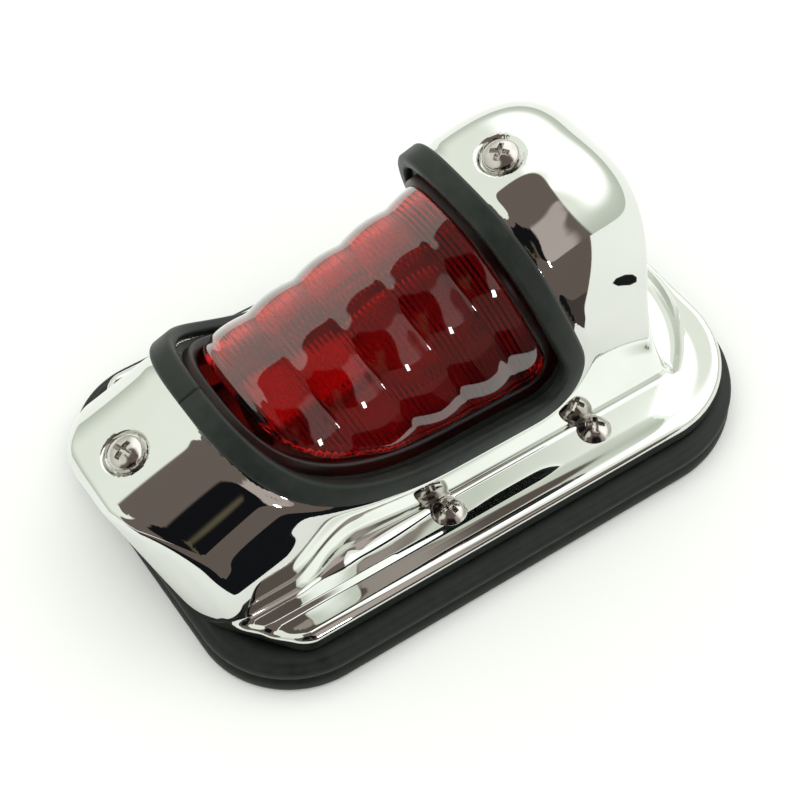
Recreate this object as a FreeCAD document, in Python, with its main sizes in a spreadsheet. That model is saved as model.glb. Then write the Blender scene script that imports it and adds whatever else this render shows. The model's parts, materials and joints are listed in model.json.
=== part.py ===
"""Motorcycle tail light: a chrome fender housing with a ribbed red lens, its bulb and its socket.

Frame: millimetres, +Z up from the underside of the rubber pad, +X towards the deep end, Y across.
The lens, the screws and the nose face share one tilt, square to the sloping top of the housing.
"""
import FreeCAD, Part
import math
import os
import Sketcher

Vector = FreeCAD.Vector
doc = FreeCAD.newDocument("tail_light")
sheet = doc.addObject("Spreadsheet::Sheet", "sizes")

SIZES = [
    # rubber pad and base plate
    ("pad_length", 165), ("pad_middle", -2.5), ("pad_width", 110), ("pad_height", 9),
    ("pad_nose_radius", 25), ("pad_deep_radius", 36), ("pad_rim", 14),
    ("bead_height", 3.8), ("bead_groove", 0.9), ("bead_depth", 1.2),
    ("plate_thick", 2), ("plate_edge", 8.5), ("seat_gap", 0.3),
    # housing: hump, flange and walls
    ("wall", 1.6), ("tilt", 20), ("crest_height", 78.5), ("hump_half", 32), ("arch_power", 3),
    ("nose_power", 2.4), ("nose_blend", 55),
    ("nose_foot", -84), ("nose_round", 4), ("dome_start", 9), ("dome_end", 61), ("dome_power", 2.7),
    ("wall_foot", 60), ("wall_waist", 48.5), ("waist_height", 36), ("wall_head", 50.5),
    ("head_height", 62), ("wall_crown", 54),
    ("flange_half", 49.4), ("flange_end", 77.6), ("flange_radius", 31), ("flange_height", 5),
    ("flange_roll", 3), ("tip_x", -67), ("shoulder_x", -81), ("shoulder_y", 31),
    ("channel_inset", 6.5), ("channel_depth", 1.5),
    ("dish_x", 34), ("dish_radius", 41.3), ("dish_floor", 1.8), ("dish_start", 56.5),
    # lens opening, its rubber trim, the lens and its seal
    ("bow_x", -14), ("bow_radius", 66.5), ("sill_height", 24.5), ("arch_x", 26.4), ("arch_height", 41),
    ("sill_corner", 14), ("edge_inset", 4.5), ("trim_width", 6.5), ("trim_proud", 2.2),
    ("trim_gap", 0.3), ("trim_depth", 2.2), ("seam_gap", 0.4),
    ("lens_half", 28), ("lens_power", 2.4), ("lens_drop", 2), ("lens_wall", 2.5), ("lens_inset", 8.5),
    ("wave_count", 5), ("wave_pitch", 15), ("wave_depth", 1.8), ("wave_first", -40),
    ("rim_drop", 4.2), ("rim_thick", 3.2), ("rim_outset", 1), ("seal_gap", 0.2),
    # screws and posts
    ("nose_screw_x", -84.5), ("crown_screw_x", 21.3), ("seat_radius", 6.6), ("seat_depth", 1.2),
    ("head_radius", 4.75), ("head_high", 3), ("head_dome", 7), ("shank_radius", 2.4),
    ("shank_length", 12), ("thread_clearance", 0.1), ("cross_width", 1.1), ("cross_length", 5),
    ("cross_depth", 1.5), ("post_radius", 4.2), ("foot_radius", 7.5), ("foot_thick", 1.5),
    ("side_screw_1", -17), ("side_screw_2", 29), ("side_screw_y", 36.2), ("side_head_radius", 4.9),
    ("side_head_high", 3.6), ("side_head_dome", 5.4), ("side_shank", 7), ("side_seat_radius", 5.6),
    # fixing nuts and cable grommet
    ("nut_x", -13), ("nut_spacing", 90), ("nut_flats", 10), ("nut_high", 5), ("nut_bore", 3),
    ("grommet_x", -6), ("grommet_y", -22), ("grommet_hole", 5), ("grommet_flange", 7.5),
    ("grommet_lip", 1.5), ("grommet_bore", 2.6),
    # number plate window
    ("window_wide", 36), ("window_high", 14), ("window_z", 51), ("window_lap", 2.5),
    ("window_thick", 2), ("window_seal", 1.2), ("window_x", 46), ("clip_wide", 5), ("clip_thick", 0.8),
    # bulb socket and bulb, measured along the socket axis from the contact plane
    ("socket_x", -41), ("socket_z", 37.5), ("shell_bore", 8.1), ("shell_wall", 0.8),
    ("shell_back", 9), ("shell_front", 13), ("shell_floor", 1), ("lead_hole", 2.5),
    ("press_travel", 2), ("pin_radius", 1), ("pin_reach", 8.7), ("pin_1", 8), ("pin_2", 9.6),
    ("slot_clear", 0.2), ("slot_turn", 30), ("disc_radius", 7.5), ("disc_thick", 1.6),
    ("contact_thick", 0.6), ("contact_radius", 1.7), ("contact_offset", 3),
    ("spring_wire", 0.7), ("spring_radius", 5), ("spring_turns", 3),
    ("cap_radius", 7.6), ("cap_wall", 0.5), ("cap_length", 18), ("tip_radius", 1.4), ("tip_high", 1),
    ("insulator_thick", 2), ("neck_radius", 6.9), ("bulb_radius", 13), ("bulb_middle", 35),
    ("bulb_length", 50.5), ("glass_wall", 0.8), ("stem_radius", 3), ("stem_end", 25),
    ("lead_radius", 0.35), ("filament_radius", 0.45), ("filament_length", 6),
    ("filament_1", 33), ("filament_2", 30), ("filament_lift", 2.6),
    ("bracket_thick", 1.5), ("bracket_wide", 26), ("bracket_foot", 16), ("bracket_x", -38),
    ("rivet_radius", 1.6), ("rivet_head", 2.8), ("rivet_high", 1), ("rivet_spacing", 16),
]

for row, (alias, number) in enumerate(SIZES, start=1):
    sheet.set("A%d" % row, alias)
    sheet.set("B%d" % row, str(number))
    sheet.setAlias("B%d" % row, alias)
doc.recompute()

ACROSS = 200.0   # longer than the light is wide: tools that cut right through
TALL = 130.0     # higher than the light: tools that are open at the top
SPARE = 1.0      # how far a tool runs past the face it cuts


def size(alias):
    return float(sheet.get(alias))


def bind(item, **formulas):
    for prop, formula in formulas.items():
        item.setExpression(prop.replace("__", "."), formula)
    return item


def place(item, x=0.0, y=0.0, z=0.0, rotation=None):
    item.Placement = FreeCAD.Placement(Vector(x, y, z), rotation or FreeCAD.Rotation())
    return item


def primitive(kind, name, formulas, x=0.0, y=0.0, z=0.0, rotation=None):
    item = bind(doc.addObject("Part::" + kind, name), **formulas)
    return place(item, x, y, z, rotation)


def cylinder(name, radius, height, x=0.0, y=0.0, z=0.0, rotation=None):
    return primitive("Cylinder", name, {"Radius": radius, "Height": height}, x, y, z, rotation)


def box(name, length, width, height, x=0.0, y=0.0, z=0.0, rotation=None):
    return primitive("Box", name, {"Length": length, "Width": width, "Height": height}, x, y, z, rotation)


def fuse(name, *items):
    result = doc.addObject("Part::MultiFuse", name)
    result.Shapes = list(items)
    return result


def cut(name, base, *tools):
    result = doc.addObject("Part::Cut", name)
    result.Base = base
    result.Tool = tools[0] if len(tools) == 1 else fuse(name + "_tools", *tools)
    return result


def common(name, base, tool):
    result = doc.addObject("Part::Common", name)
    result.Base = base
    result.Tool = tool
    return result


def group(name, items):
    result = doc.addObject("Part::Compound", name)
    result.Links = list(items)
    return result


def feature(name, shape):
    item = doc.addObject("Part::Feature", name)
    item.Shape = shape
    return item


def shape_box(x0, x1, y0, y1, z0, z1):
    return Part.makeBox(x1 - x0, y1 - y0, z1 - z0, Vector(x0, y0, z0))


TILT = math.radians(size("tilt"))
LEAN = math.tan(TILT)
PAD_TOP = size("pad_height")
SQUARE_TO_TOP = FreeCAD.Rotation(Vector(0, 1, 0), -size("tilt"))
ALONG_X = FreeCAD.Rotation(Vector(0, 1, 0), 90)


# ---------------------------------------------------------------- shared curves

def crest(x, drop=0.0):
    """Height of the housing's top line at x; the dome bends it down at the deep end."""
    straight = size("crest_height") + LEAN * x
    start, end, power = size("dome_start"), size("dome_end"), size("dome_power")
    share = min(max((x - start) / (end - start), 0.0), 1.0)
    return PAD_TOP + (straight - PAD_TOP) * (1.0 - share ** power) ** (1.0 / power) - drop


def arch_wire(points):
    """Closed section: a smooth arch through the points, carried a little below the pad's top."""
    first, last = points[0], points[-1]
    curve = Part.BSplineCurve()
    curve.interpolate(points)
    right = last - Vector(0, 0, SPARE)
    left = first - Vector(0, 0, SPARE)
    lines = [Part.makeLine(last, right), Part.makeLine(right, left), Part.makeLine(left, first)]
    return Part.Wire([curve.toShape()] + lines)


def arch_points(x, half, height, power, steps=16):
    """Superelliptic arch in the plane of constant x, from one foot over the top to the other."""
    points = []
    for step in range(steps + 1):
        angle = math.pi * step / steps
        across = half * math.copysign(abs(math.cos(angle)) ** (2.0 / power), math.cos(angle))
        up = height * abs(math.sin(angle)) ** (2.0 / power) if 0 < step < steps else 0.0
        points.append(Vector(x, across, PAD_TOP + up))
    return points


def hump(inset):
    """The housing's hump, drawn in by the inset: a straight slope and a domed deep end."""
    half = size("hump_half") - inset
    start, end = size("dome_start"), size("dome_end")
    full, rounder, blend = size("arch_power"), size("nose_power"), size("nose_blend")
    nose = size("nose_foot")

    def section(x):
        share = min(max((x - nose) / blend, 0.0), 1.0)
        power = rounder + (full - rounder) * share * share * (3.0 - 2.0 * share)
        return arch_wire(arch_points(x, half, crest(x, inset) - PAD_TOP, power))

    before = [nose - blend / 2] + [nose + blend * share for share in (0.0, 0.35, 0.7, 1.0)]
    slope = Part.makeLoft([section(x) for x in before + [start]], True, False)
    shares = (0.0, 0.16, 0.32, 0.46, 0.58, 0.68, 0.76, 0.83)
    stations = [start + share * (end - start) for share in shares]
    dome = Part.makeLoft([section(x) for x in stations], True, False)
    tail = Part.Face(section(stations[-1])).extrude(Vector(end - stations[-1], 0, 0))
    return slope.fuse([dome, tail]).removeSplitter()


def profile_solid(edges):
    """A closed XZ outline carried right across the light."""
    face = Part.Face(Part.Wire(Part.__sortEdges__(edges)))
    face.translate(Vector(0, -ACROSS / 2, 0))
    return face.extrude(Vector(0, ACROSS, 0))


def polyline(points):
    return [Part.makeLine(first, second) for first, second in zip(points, points[1:])]


def arch_line(height, inset=0.0):
    """X of the leaning line behind the lens at a height."""
    return size("arch_x") - (height - size("arch_height")) * LEAN - inset / math.cos(TILT)


def opening(inset):
    """The lens opening seen from the side: bow, sill, round corner and leaning arch."""
    radius = size("bow_radius") - inset
    sill = size("sill_height") + inset
    centre = Vector(size("bow_x"), 0, sill + radius)
    bow_top = centre + Vector(-radius, 0, 0)
    bow_middle = centre + Vector(-radius, 0, -radius) * math.sqrt(0.5)
    bow_middle.x = centre.x - radius * math.sqrt(0.5)
    bow_middle.z = centre.z - radius * math.sqrt(0.5)
    bow_end = centre + Vector(0, 0, -radius)
    corner = max(size("sill_corner") - inset, size("lens_wall"))
    hub = Vector(arch_line(sill + corner, inset + corner), 0, sill + corner)
    halfway = (TILT - math.pi / 2) / 2
    corner_start = hub + Vector(0, 0, -corner)
    corner_middle = hub + Vector(math.cos(halfway), 0, math.sin(halfway)) * corner
    corner_end = hub + Vector(math.cos(TILT), 0, math.sin(TILT)) * corner
    arch_top = Vector(arch_line(TALL, inset), 0, TALL)
    edges = [
        Part.Arc(bow_top, bow_middle, bow_end).toShape(),
        Part.Arc(corner_start, corner_middle, corner_end).toShape(),
    ]
    edges += polyline([bow_end, corner_start])
    edges += polyline([corner_end, arch_top, Vector(bow_top.x, 0, TALL), bow_top])
    return profile_solid(edges)


def nose_block(shift):
    """Everything beyond the leaning nose face."""
    foot = size("nose_foot") + shift / math.cos(TILT)
    far = 4.0 * size("nose_foot")
    low, high = PAD_TOP - TALL, PAD_TOP + TALL
    outline = [
        Vector(foot + LEAN * TALL, 0, low), Vector(foot - LEAN * TALL, 0, high),
        Vector(far, 0, high), Vector(far, 0, low), Vector(foot + LEAN * TALL, 0, low),
    ]
    return profile_solid(polyline(outline))


def deep_block(shift):
    """Everything beyond the hollow end wall that carries the number plate window."""
    foot = Vector(size("wall_foot") - shift, 0, PAD_TOP)
    waist = Vector(size("wall_waist") - shift, 0, size("waist_height"))
    head = Vector(size("wall_head") - shift, 0, size("head_height"))
    crown = Vector(size("wall_crown") - shift, 0, crest(size("dome_start")))
    far = 2.0 * size("flange_end")
    edges = [Part.Arc(foot, waist, head).toShape()]
    edges += polyline([head, crown, Vector(far, 0, crown.z), Vector(far, 0, 0)])
    edges += polyline([Vector(far, 0, 0), Vector(foot.x, 0, 0), foot])
    return profile_solid(edges)


def flange_face(inset):
    """Plan outline of the flange: straight sides, round deep end, slanted ends beside the nose."""
    half, end, radius = size("flange_half"), size("flange_end"), size("flange_radius")
    hub_x, hub_y = end - radius, half - radius
    slant = math.sqrt(0.5)
    edges = []
    for side in (-1, 1):
        shoulder = Vector(size("shoulder_x"), side * size("shoulder_y"), 0)
        tip = Vector(size("tip_x"), side * half, 0)
        bend = Vector(hub_x, side * half, 0)
        middle = Vector(hub_x + radius * slant, side * (hub_y + radius * slant), 0)
        edges += polyline([shoulder, tip, bend])
        edges.append(Part.Arc(bend, middle, Vector(end, side * hub_y, 0)).toShape())
    edges.append(Part.makeLine(Vector(end, -hub_y, 0), Vector(end, hub_y, 0)))
    shoulders = [Vector(size("shoulder_x"), side * size("shoulder_y"), 0) for side in (-1, 1)]
    edges.append(Part.makeLine(*shoulders))
    face = Part.Face(Part.Wire(Part.__sortEdges__(edges)))
    return face.makeOffset2D(-inset) if inset else face


def raised(face, bottom, top):
    solid = face.extrude(Vector(0, 0, top - bottom))
    solid.translate(Vector(0, 0, bottom))
    return solid


def top_axis(x):
    """A point on the housing's top line and the direction square to the slope there."""
    return Vector(x, 0, crest(x)), Vector(-math.sin(TILT), 0, math.cos(TILT))


def seat_point(x):
    """Underside of a screw head, sunk below the top line."""
    point, up = top_axis(x)
    return point - up * size("seat_depth")


# ---------------------------------------------------------------- rubber pad and base plate

def plane_of(body, role):
    return next(item for item in body.Origin.OriginFeatures if item.Role == role)


def outline_sketch(body, name, inset, height):
    """Round-ended outline, its four sides and two corner sizes held by named constraints."""
    sketch = body.newObject("Sketcher::SketchObject", name)
    sketch.AttachmentSupport = [(plane_of(body, "XY_Plane"), "")]
    sketch.MapMode = "FlatFace"
    bind(sketch, AttachmentOffset__Base__z=height)
    half_length = size("pad_length") / 2 - inset
    half_width = size("pad_width") / 2 - inset
    middle = size("pad_middle")
    nose, deep = size("pad_nose_radius") - inset, size("pad_deep_radius") - inset
    corners = [
        (middle - half_length + nose, -half_width + nose, nose, 180),
        (middle + half_length - deep, -half_width + deep, deep, 270),
        (middle + half_length - deep, half_width - deep, deep, 0),
        (middle - half_length + nose, half_width - nose, nose, 90),
    ]
    arcs = []
    for x, y, radius, angle in corners:
        circle = Part.Circle(Vector(x, y, 0), Vector(0, 0, 1), radius)
        arc = Part.ArcOfCircle(circle, math.radians(angle), math.radians(angle + 90))
        arcs.append((sketch.addGeometry(arc, False), arc))
    for index, (arc_id, arc) in enumerate(arcs):
        next_id, next_arc = arcs[(index + 1) % 4]
        line = sketch.addGeometry(Part.LineSegment(arc.EndPoint, next_arc.StartPoint), False)
        sketch.addConstraint(Sketcher.Constraint("Tangent", arc_id, 2, line, 1))
        sketch.addConstraint(Sketcher.Constraint("Tangent", line, 2, next_id, 1))
        way = "Horizontal" if index % 2 == 0 else "Vertical"
        sketch.addConstraint(Sketcher.Constraint(way, line))
        named = ("front", "right", "back", "left")[index]
        if index % 2 == 0:
            distance = Sketcher.Constraint("DistanceY", -1, 1, line, 1, arc.EndPoint.y)
        else:
            distance = Sketcher.Constraint("DistanceX", -1, 1, line, 1, arc.EndPoint.x)
        sketch.renameConstraint(sketch.addConstraint(distance), named)
    for arc_index, named in ((0, "nose"), (1, "deep")):
        radius = Sketcher.Constraint("Radius", arcs[arc_index][0], corners[arc_index][2])
        sketch.renameConstraint(sketch.addConstraint(radius), named)
    sketch.addConstraint(Sketcher.Constraint("Equal", arcs[0][0], arcs[3][0]))
    sketch.addConstraint(Sketcher.Constraint("Equal", arcs[1][0], arcs[2][0]))
    return sketch


def tie_outline(sketch, inset):
    """Bind an outline's constraints to the sheet, drawn in by the inset formula."""
    right = "(sizes.pad_middle + sizes.pad_length / 2 - (%s)) * 1 mm" % inset
    left = "(sizes.pad_middle - sizes.pad_length / 2 + (%s)) * 1 mm" % inset
    half_width = "(sizes.pad_width / 2 - (%s)) * 1 mm" % inset
    bind(
        sketch, Constraints__right=right, Constraints__back=half_width,
        Constraints__nose="(sizes.pad_nose_radius - (%s)) * 1 mm" % inset,
        Constraints__deep="(sizes.pad_deep_radius - (%s)) * 1 mm" % inset,
    )
    bind(sketch, Constraints__left=left, Constraints__front="-" + half_width)


def outline_pad(body, name, inset_formula, inset, base, height):
    sketch = outline_sketch(body, name + "_outline", inset, base)
    tie_outline(sketch, inset_formula)
    pad = body.newObject("PartDesign::Pad", name)
    pad.Profile = sketch
    bind(pad, Length=height)
    return pad


def outline_pocket(body, name, inset_formula, inset, depth):
    """Pocket cut down from the top of the pad."""
    sketch = outline_sketch(body, name + "_outline", inset, "sizes.pad_height")
    tie_outline(sketch, inset_formula)
    pocket = body.newObject("PartDesign::Pocket", name)
    pocket.Profile = sketch
    bind(pocket, Length=depth)
    return pocket


def make_gasket():
    body = doc.addObject("PartDesign::Body", "mounting_gasket")
    upper = "sizes.bead_height + sizes.bead_groove"
    outline_pad(body, "lower_bead", "0", 0.0, "0", "sizes.bead_height")
    outline_pad(body, "waist", "sizes.bead_depth", size("bead_depth"), "sizes.bead_height",
                "sizes.bead_groove")
    outline_pad(body, "upper_bead", "0", 0.0, upper, "sizes.pad_height - (%s)" % upper)
    rebate = "sizes.plate_edge - sizes.seat_gap"
    outline_pocket(body, "plate_rebate", rebate, size("plate_edge") - size("seat_gap"),
                   "sizes.plate_thick")
    outline_pocket(body, "middle", "sizes.pad_rim", size("pad_rim"), "sizes.pad_height")
    return body


def make_base_plate():
    body = doc.addObject("PartDesign::Body", "base_plate")
    outline_pad(body, "sheet_steel", "sizes.plate_edge", size("plate_edge"),
                "sizes.pad_height - sizes.plate_thick", "sizes.plate_thick")
    holes = body.newObject("Sketcher::SketchObject", "hole_centres")
    holes.AttachmentSupport = [(plane_of(body, "XY_Plane"), "")]
    holes.MapMode = "FlatFace"
    bind(holes, AttachmentOffset__Base__z="sizes.pad_height")
    threaded = "sizes.shank_radius + sizes.thread_clearance"
    spots = [("sizes.grommet_x", "-sizes.grommet_y", -1, "sizes.grommet_hole")]
    for screw in ("sizes.side_screw_1", "sizes.side_screw_2"):
        spots += [(screw, "sizes.side_screw_y", side, threaded) for side in (-1, 1)]
    for sign in ("-", "+"):
        centre = "sizes.nut_x %s sizes.nut_spacing / 2" % sign
        spots.append((centre, "0", 0, "sizes.nut_bore"))
    for number, (x, y, side, radius) in enumerate(spots):
        at = Vector(evaluate(x), side * evaluate(y), 0)
        circle = holes.addGeometry(Part.Circle(at, Vector(0, 0, 1), evaluate(radius)), False)
        wanted = [("radius", Sketcher.Constraint("Radius", circle, evaluate(radius)), radius)]
        if side:
            tall = Sketcher.Constraint("DistanceY", -1, 1, circle, 3, at.y)
            wanted.append(("up", tall, "%d * (%s)" % (side, y)))
        else:
            holes.addConstraint(Sketcher.Constraint("PointOnObject", circle, 3, -1))
        wide = Sketcher.Constraint("DistanceX", -1, 1, circle, 3, at.x)
        wanted.append(("along", wide, x))
        for word, constraint, formula in wanted:
            named = "%s_%d" % (word, number)
            holes.renameConstraint(holes.addConstraint(constraint), named)
            bind(holes, **{"Constraints__" + named: "(%s) * 1 mm" % formula})
    pocket = body.newObject("PartDesign::Pocket", "holes")
    pocket.Profile = holes
    bind(pocket, Length="sizes.plate_thick")
    return body


def evaluate(formula):
    """Value of a sheet formula, for the first guess of a sketch and for placements."""
    value = sheet.evalExpression(formula.replace("sizes.", ""))
    return float(getattr(value, "Value", value))


# ---------------------------------------------------------------- chrome housing

def rounded_nose(solid):
    """Round the rim where the nose face meets the hump."""
    foot = size("nose_foot")
    rim = []
    for edge in solid.Edges:
        spots = [vertex.Point for vertex in edge.Vertexes]
        on_face = all(abs(spot.x - foot + (spot.z - PAD_TOP) * LEAN) < 0.01 for spot in spots)
        if on_face and edge.BoundBox.ZMax > PAD_TOP + 1.0:
            rim.append(edge)
    return solid.makeFillet(size("nose_round"), rim)


def flange(inset):
    """Flange block; the outer one has a rolled rim, a channel and the dish under the window."""
    floor = PAD_TOP
    top = PAD_TOP + size("flange_height")
    face = flange_face(0.0)
    if inset:
        solid = raised(flange_face(inset), floor - 1.0, top - inset - size("channel_depth"))
        keep_out = size("dish_radius") + inset
        dish_bottom = floor - 1.0
    else:
        solid = raised(face, floor, top)
        rim = [edge for edge in solid.Edges if edge.BoundBox.ZMin > top - 0.01]
        rim = [edge for edge in rim if edge.BoundBox.XMax > size("shoulder_x") + 1.0]
        solid = solid.makeFillet(size("flange_roll"), rim)
        channel = raised(flange_face(size("channel_inset")), top - size("channel_depth"), TALL)
        solid = solid.cut(channel)
        keep_out = size("dish_radius")
        dish_bottom = floor + size("dish_floor")
    dish = Part.makeCylinder(keep_out, TALL, Vector(size("dish_x"), 0, dish_bottom))
    start = size("dish_start") - inset
    reach = shape_box(start, TALL, -ACROSS / 2, ACROSS / 2, dish_bottom, TALL)
    return solid.cut(dish.common(reach))


def make_housing():
    wall = size("wall")
    below = shape_box(-TALL, TALL, -ACROSS / 2, ACROSS / 2, 0, PAD_TOP)
    outer_hump = hump(0.0).cut(below).cut(nose_block(0.0)).cut(deep_block(0.0))
    outer_hump = rounded_nose(outer_hump)
    inner_hump = hump(wall).cut(nose_block(wall)).cut(deep_block(wall))
    outer = outer_hump.fuse(flange(0.0))
    shell = outer.cut(inner_hump.fuse(flange(wall)))
    # thick seats under the two end screws, then their sunk seats and clearance holes
    hole_radius = size("shank_radius") + size("seat_gap")
    for x in (size("nose_screw_x"), size("crown_screw_x")):
        seat, up = seat_point(x), top_axis(x)[1]
        boss_radius = size("seat_radius") + wall
        boss = Part.makeCylinder(boss_radius, size("seat_depth") + wall + wall, seat - up * wall, up)
        shell = shell.fuse(boss.common(outer_hump))
        shell = shell.cut(Part.makeCylinder(size("seat_radius"), TALL / 4, seat, up))
        shell = shell.cut(Part.makeCylinder(hole_radius, TALL / 4, seat - up * TALL / 8, up))
    floor = PAD_TOP + size("flange_height") - size("channel_depth")
    for x in (size("side_screw_1"), size("side_screw_2")):
        for side in (-1, 1):
            y = side * size("side_screw_y")
            niche = Part.makeCylinder(size("side_seat_radius"), size("side_head_high"), Vector(x, y, floor))
            lining = Part.makeCylinder(size("side_seat_radius") + wall, size("side_head_high") + wall,
                                       Vector(x, y, floor - wall))
            shell = shell.fuse(lining.common(outer_hump)).cut(niche)
            shell = shell.cut(Part.makeCylinder(hole_radius, TALL / 4, Vector(x, y, 0)))
    shell = shell.cut(opening(size("edge_inset")))
    half_wide, half_high = size("window_wide") / 2, size("window_high") / 2
    middle = size("window_z")
    window = shape_box(size("window_x") - wall, size("wall_foot"), -half_wide, half_wide,
                       middle - half_high, middle + half_high)
    shell = shell.cut(window)
    return feature("housing", shell)


def layer(outset, depth):
    """Part of a shell that follows the hump, from an outset above it to a depth below it."""
    return hump(-outset).cut(hump(depth))


def make_trim():
    """Rubber edge strip: a flat outer flap with a lip that wraps over the cut edge."""
    proud, gap, inset = size("trim_proud"), size("trim_gap"), size("edge_inset")
    edge = inset + gap
    strip = layer(proud, size("trim_depth")).common(opening(0.0).cut(opening(size("trim_width"))))
    strip = strip.cut(hump(-gap).common(opening(-gap).cut(opening(edge))))
    slit = shape_box(2 * size("nose_foot"), size("nose_foot") / 2, -size("seam_gap") / 2,
                     size("seam_gap") / 2, 0, TALL)
    return feature("lens_trim", strip.cut(slit))


# ---------------------------------------------------------------- red lens and its seal

def lens_section(station, drop):
    """Leaning section of the lens, square to the housing's slope."""
    half, power = size("lens_half") - drop, size("lens_power")
    depth = size("lens_drop") + drop
    points = []
    steps = 16
    for step in range(steps + 1):
        angle = math.pi * step / steps
        share = abs(math.sin(angle)) ** (2.0 / power) if 0 < step < steps else 0.0
        height = share * (size("crest_height") - depth - PAD_TOP + LEAN * station)
        height = height / (1.0 + share * LEAN * LEAN)
        across = half * math.copysign(abs(math.cos(angle)) ** (2.0 / power), math.cos(angle))
        points.append(Vector(station - LEAN * height, across, PAD_TOP + height))
    foot = [Part.makeLine(points[-1], points[0])]
    curve = Part.BSplineCurve()
    curve.interpolate(points)
    return Part.Wire([curve.toShape()] + foot)


def lens_barrel(drop, first, last):
    """Plain barrel between two stations."""
    return Part.makeLoft([lens_section(first, drop), lens_section(last, drop)], True, True)


def lens_waves():
    """Row of equal bulges that share their valleys."""
    pitch, first = size("wave_pitch"), size("wave_first")
    solid = None
    for index in range(int(size("wave_count"))):
        start = first + index * pitch
        shares = ((0.0, 1.0), (0.2, 0.36), (0.5, 0.0), (0.8, 0.36), (1.0, 1.0))
        wires = [lens_section(start + share * pitch, size("wave_depth") * dip) for share, dip in shares]
        bulge = Part.makeLoft(wires, True, False)
        solid = bulge if solid is None else solid.fuse(bulge)
    return solid


def make_lens():
    wall = size("lens_wall")
    first = size("wave_first")
    last = first + size("wave_count") * size("wave_pitch")
    tail = lens_barrel(size("wave_depth"), last, last + size("lens_inset"))
    dome = lens_waves().fuse(tail).common(opening(size("lens_inset")))
    dome = dome.cut(lens_barrel(size("wave_depth") + wall, first + wall, last + size("lens_inset")))
    rim = layer(-size("rim_drop"), size("rim_drop") + size("rim_thick"))
    rim = rim.common(opening(-size("rim_outset")).cut(opening(size("lens_inset") + wall)))
    return feature("red_lens", rim.fuse(dome).removeSplitter())


def make_lens_seal():
    """Flat rubber strip squeezed between the lens rim and the inside of the housing."""
    gap = size("seal_gap")
    strip = layer(-size("wall") - gap, size("rim_drop") - gap)
    strip = strip.common(opening(-size("rim_outset")).cut(opening(size("edge_inset"))))
    return feature("lens_seal", strip)


# ---------------------------------------------------------------- screws, posts, nuts and grommet

def screw(name, head_radius, head_high, dome, shank_length):
    """Domed cross-head screw standing on its seat at the origin, shank downwards."""
    head = cylinder(name + "_head", head_radius, head_high)
    ball = primitive("Sphere", name + "_dome", {"Radius": dome})
    ball.Placement.Base = Vector(0, 0, evaluate("%s - %s" % (head_high, dome)))
    rounded = common(name + "_crown", head, ball)
    shank = cylinder(name + "_shank", "sizes.shank_radius", shank_length)
    shank.Placement.Base = Vector(0, 0, -evaluate(shank_length))
    arms = []
    long_way, short_way = size("cross_length"), size("cross_width")
    for number, (length, width) in enumerate(((long_way, short_way), (short_way, long_way))):
        names = ("sizes.cross_length", "sizes.cross_width")
        formulas = names if number == 0 else names[::-1]
        depth = evaluate("%s - sizes.cross_depth" % head_high)
        arms.append(box("%s_slot_%d" % (name, number), *formulas, "sizes.head_high",
                        x=-length / 2, y=-width / 2, z=depth))
    return cut(name, fuse(name + "_blank", rounded, shank), *arms)


def make_end_screw(name, x):
    item = screw(name, "sizes.head_radius", "sizes.head_high", "sizes.head_dome", "sizes.shank_length")
    item.Placement = FreeCAD.Placement(seat_point(x), SQUARE_TO_TOP)
    return item


def make_side_screws():
    items = []
    floor = PAD_TOP + size("flange_height") - size("channel_depth")
    for x in ("side_screw_1", "side_screw_2"):
        for side in (-1, 1):
            name = "%s_%s" % (x, "near" if side < 0 else "far")
            item = screw(name, "sizes.side_head_radius", "sizes.side_head_high", "sizes.side_head_dome",
                         "sizes.side_shank")
            items.append(place(item, size(x), side * size("side_screw_y"), floor))
    return group("side_screws", items)


def make_post(name, x):
    """Tilted post from a flat foot on the base plate up to the seat, tapped for the screw."""
    up = top_axis(x)[1]
    head = seat_point(x) - up * size("wall")
    drop = (head.z - PAD_TOP) / up.z
    foot = head - up * drop
    spare = size("post_radius") * LEAN + SPARE
    rod = cylinder(name + "_rod", "sizes.post_radius", "%f" % (drop + spare), rotation=SQUARE_TO_TOP)
    rod.Placement.Base = foot - up * spare
    disc = cylinder(name + "_foot", "sizes.foot_radius", "sizes.foot_thick", foot.x, 0, PAD_TOP)
    hole = cylinder(name + "_tap", "sizes.shank_radius + sizes.thread_clearance",
                    "sizes.shank_length + %f" % SPARE, rotation=SQUARE_TO_TOP)
    hole.Placement.Base = head - up * size("shank_length")
    deep = size("post_radius") * 4
    below = box(name + "_below", "%f" % deep, "%f" % deep, "sizes.pad_height",
                x=foot.x - deep / 2, y=-deep / 2)
    return cut(name, fuse(name + "_blank", rod, disc), hole, below)


def make_nuts():
    """Captive nuts under the base plate that take the two fixing bolts."""
    items = []
    top = PAD_TOP - size("plate_thick")
    for number, side in enumerate((-1, 1)):
        x = size("nut_x") + side * size("nut_spacing") / 2
        name = "nut_%d" % (number + 1)
        hexagon = primitive("Prism", name + "_hexagon", {"Height": "sizes.nut_high",
                            "Circumradius": "sizes.nut_flats / cos(30 deg) / 2"})
        bore = cylinder(name + "_bore", "sizes.nut_bore", "sizes.nut_high")
        items.append(place(cut(name, hexagon, bore), x, 0, top - size("nut_high")))
    return group("mounting_nuts", items)


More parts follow.
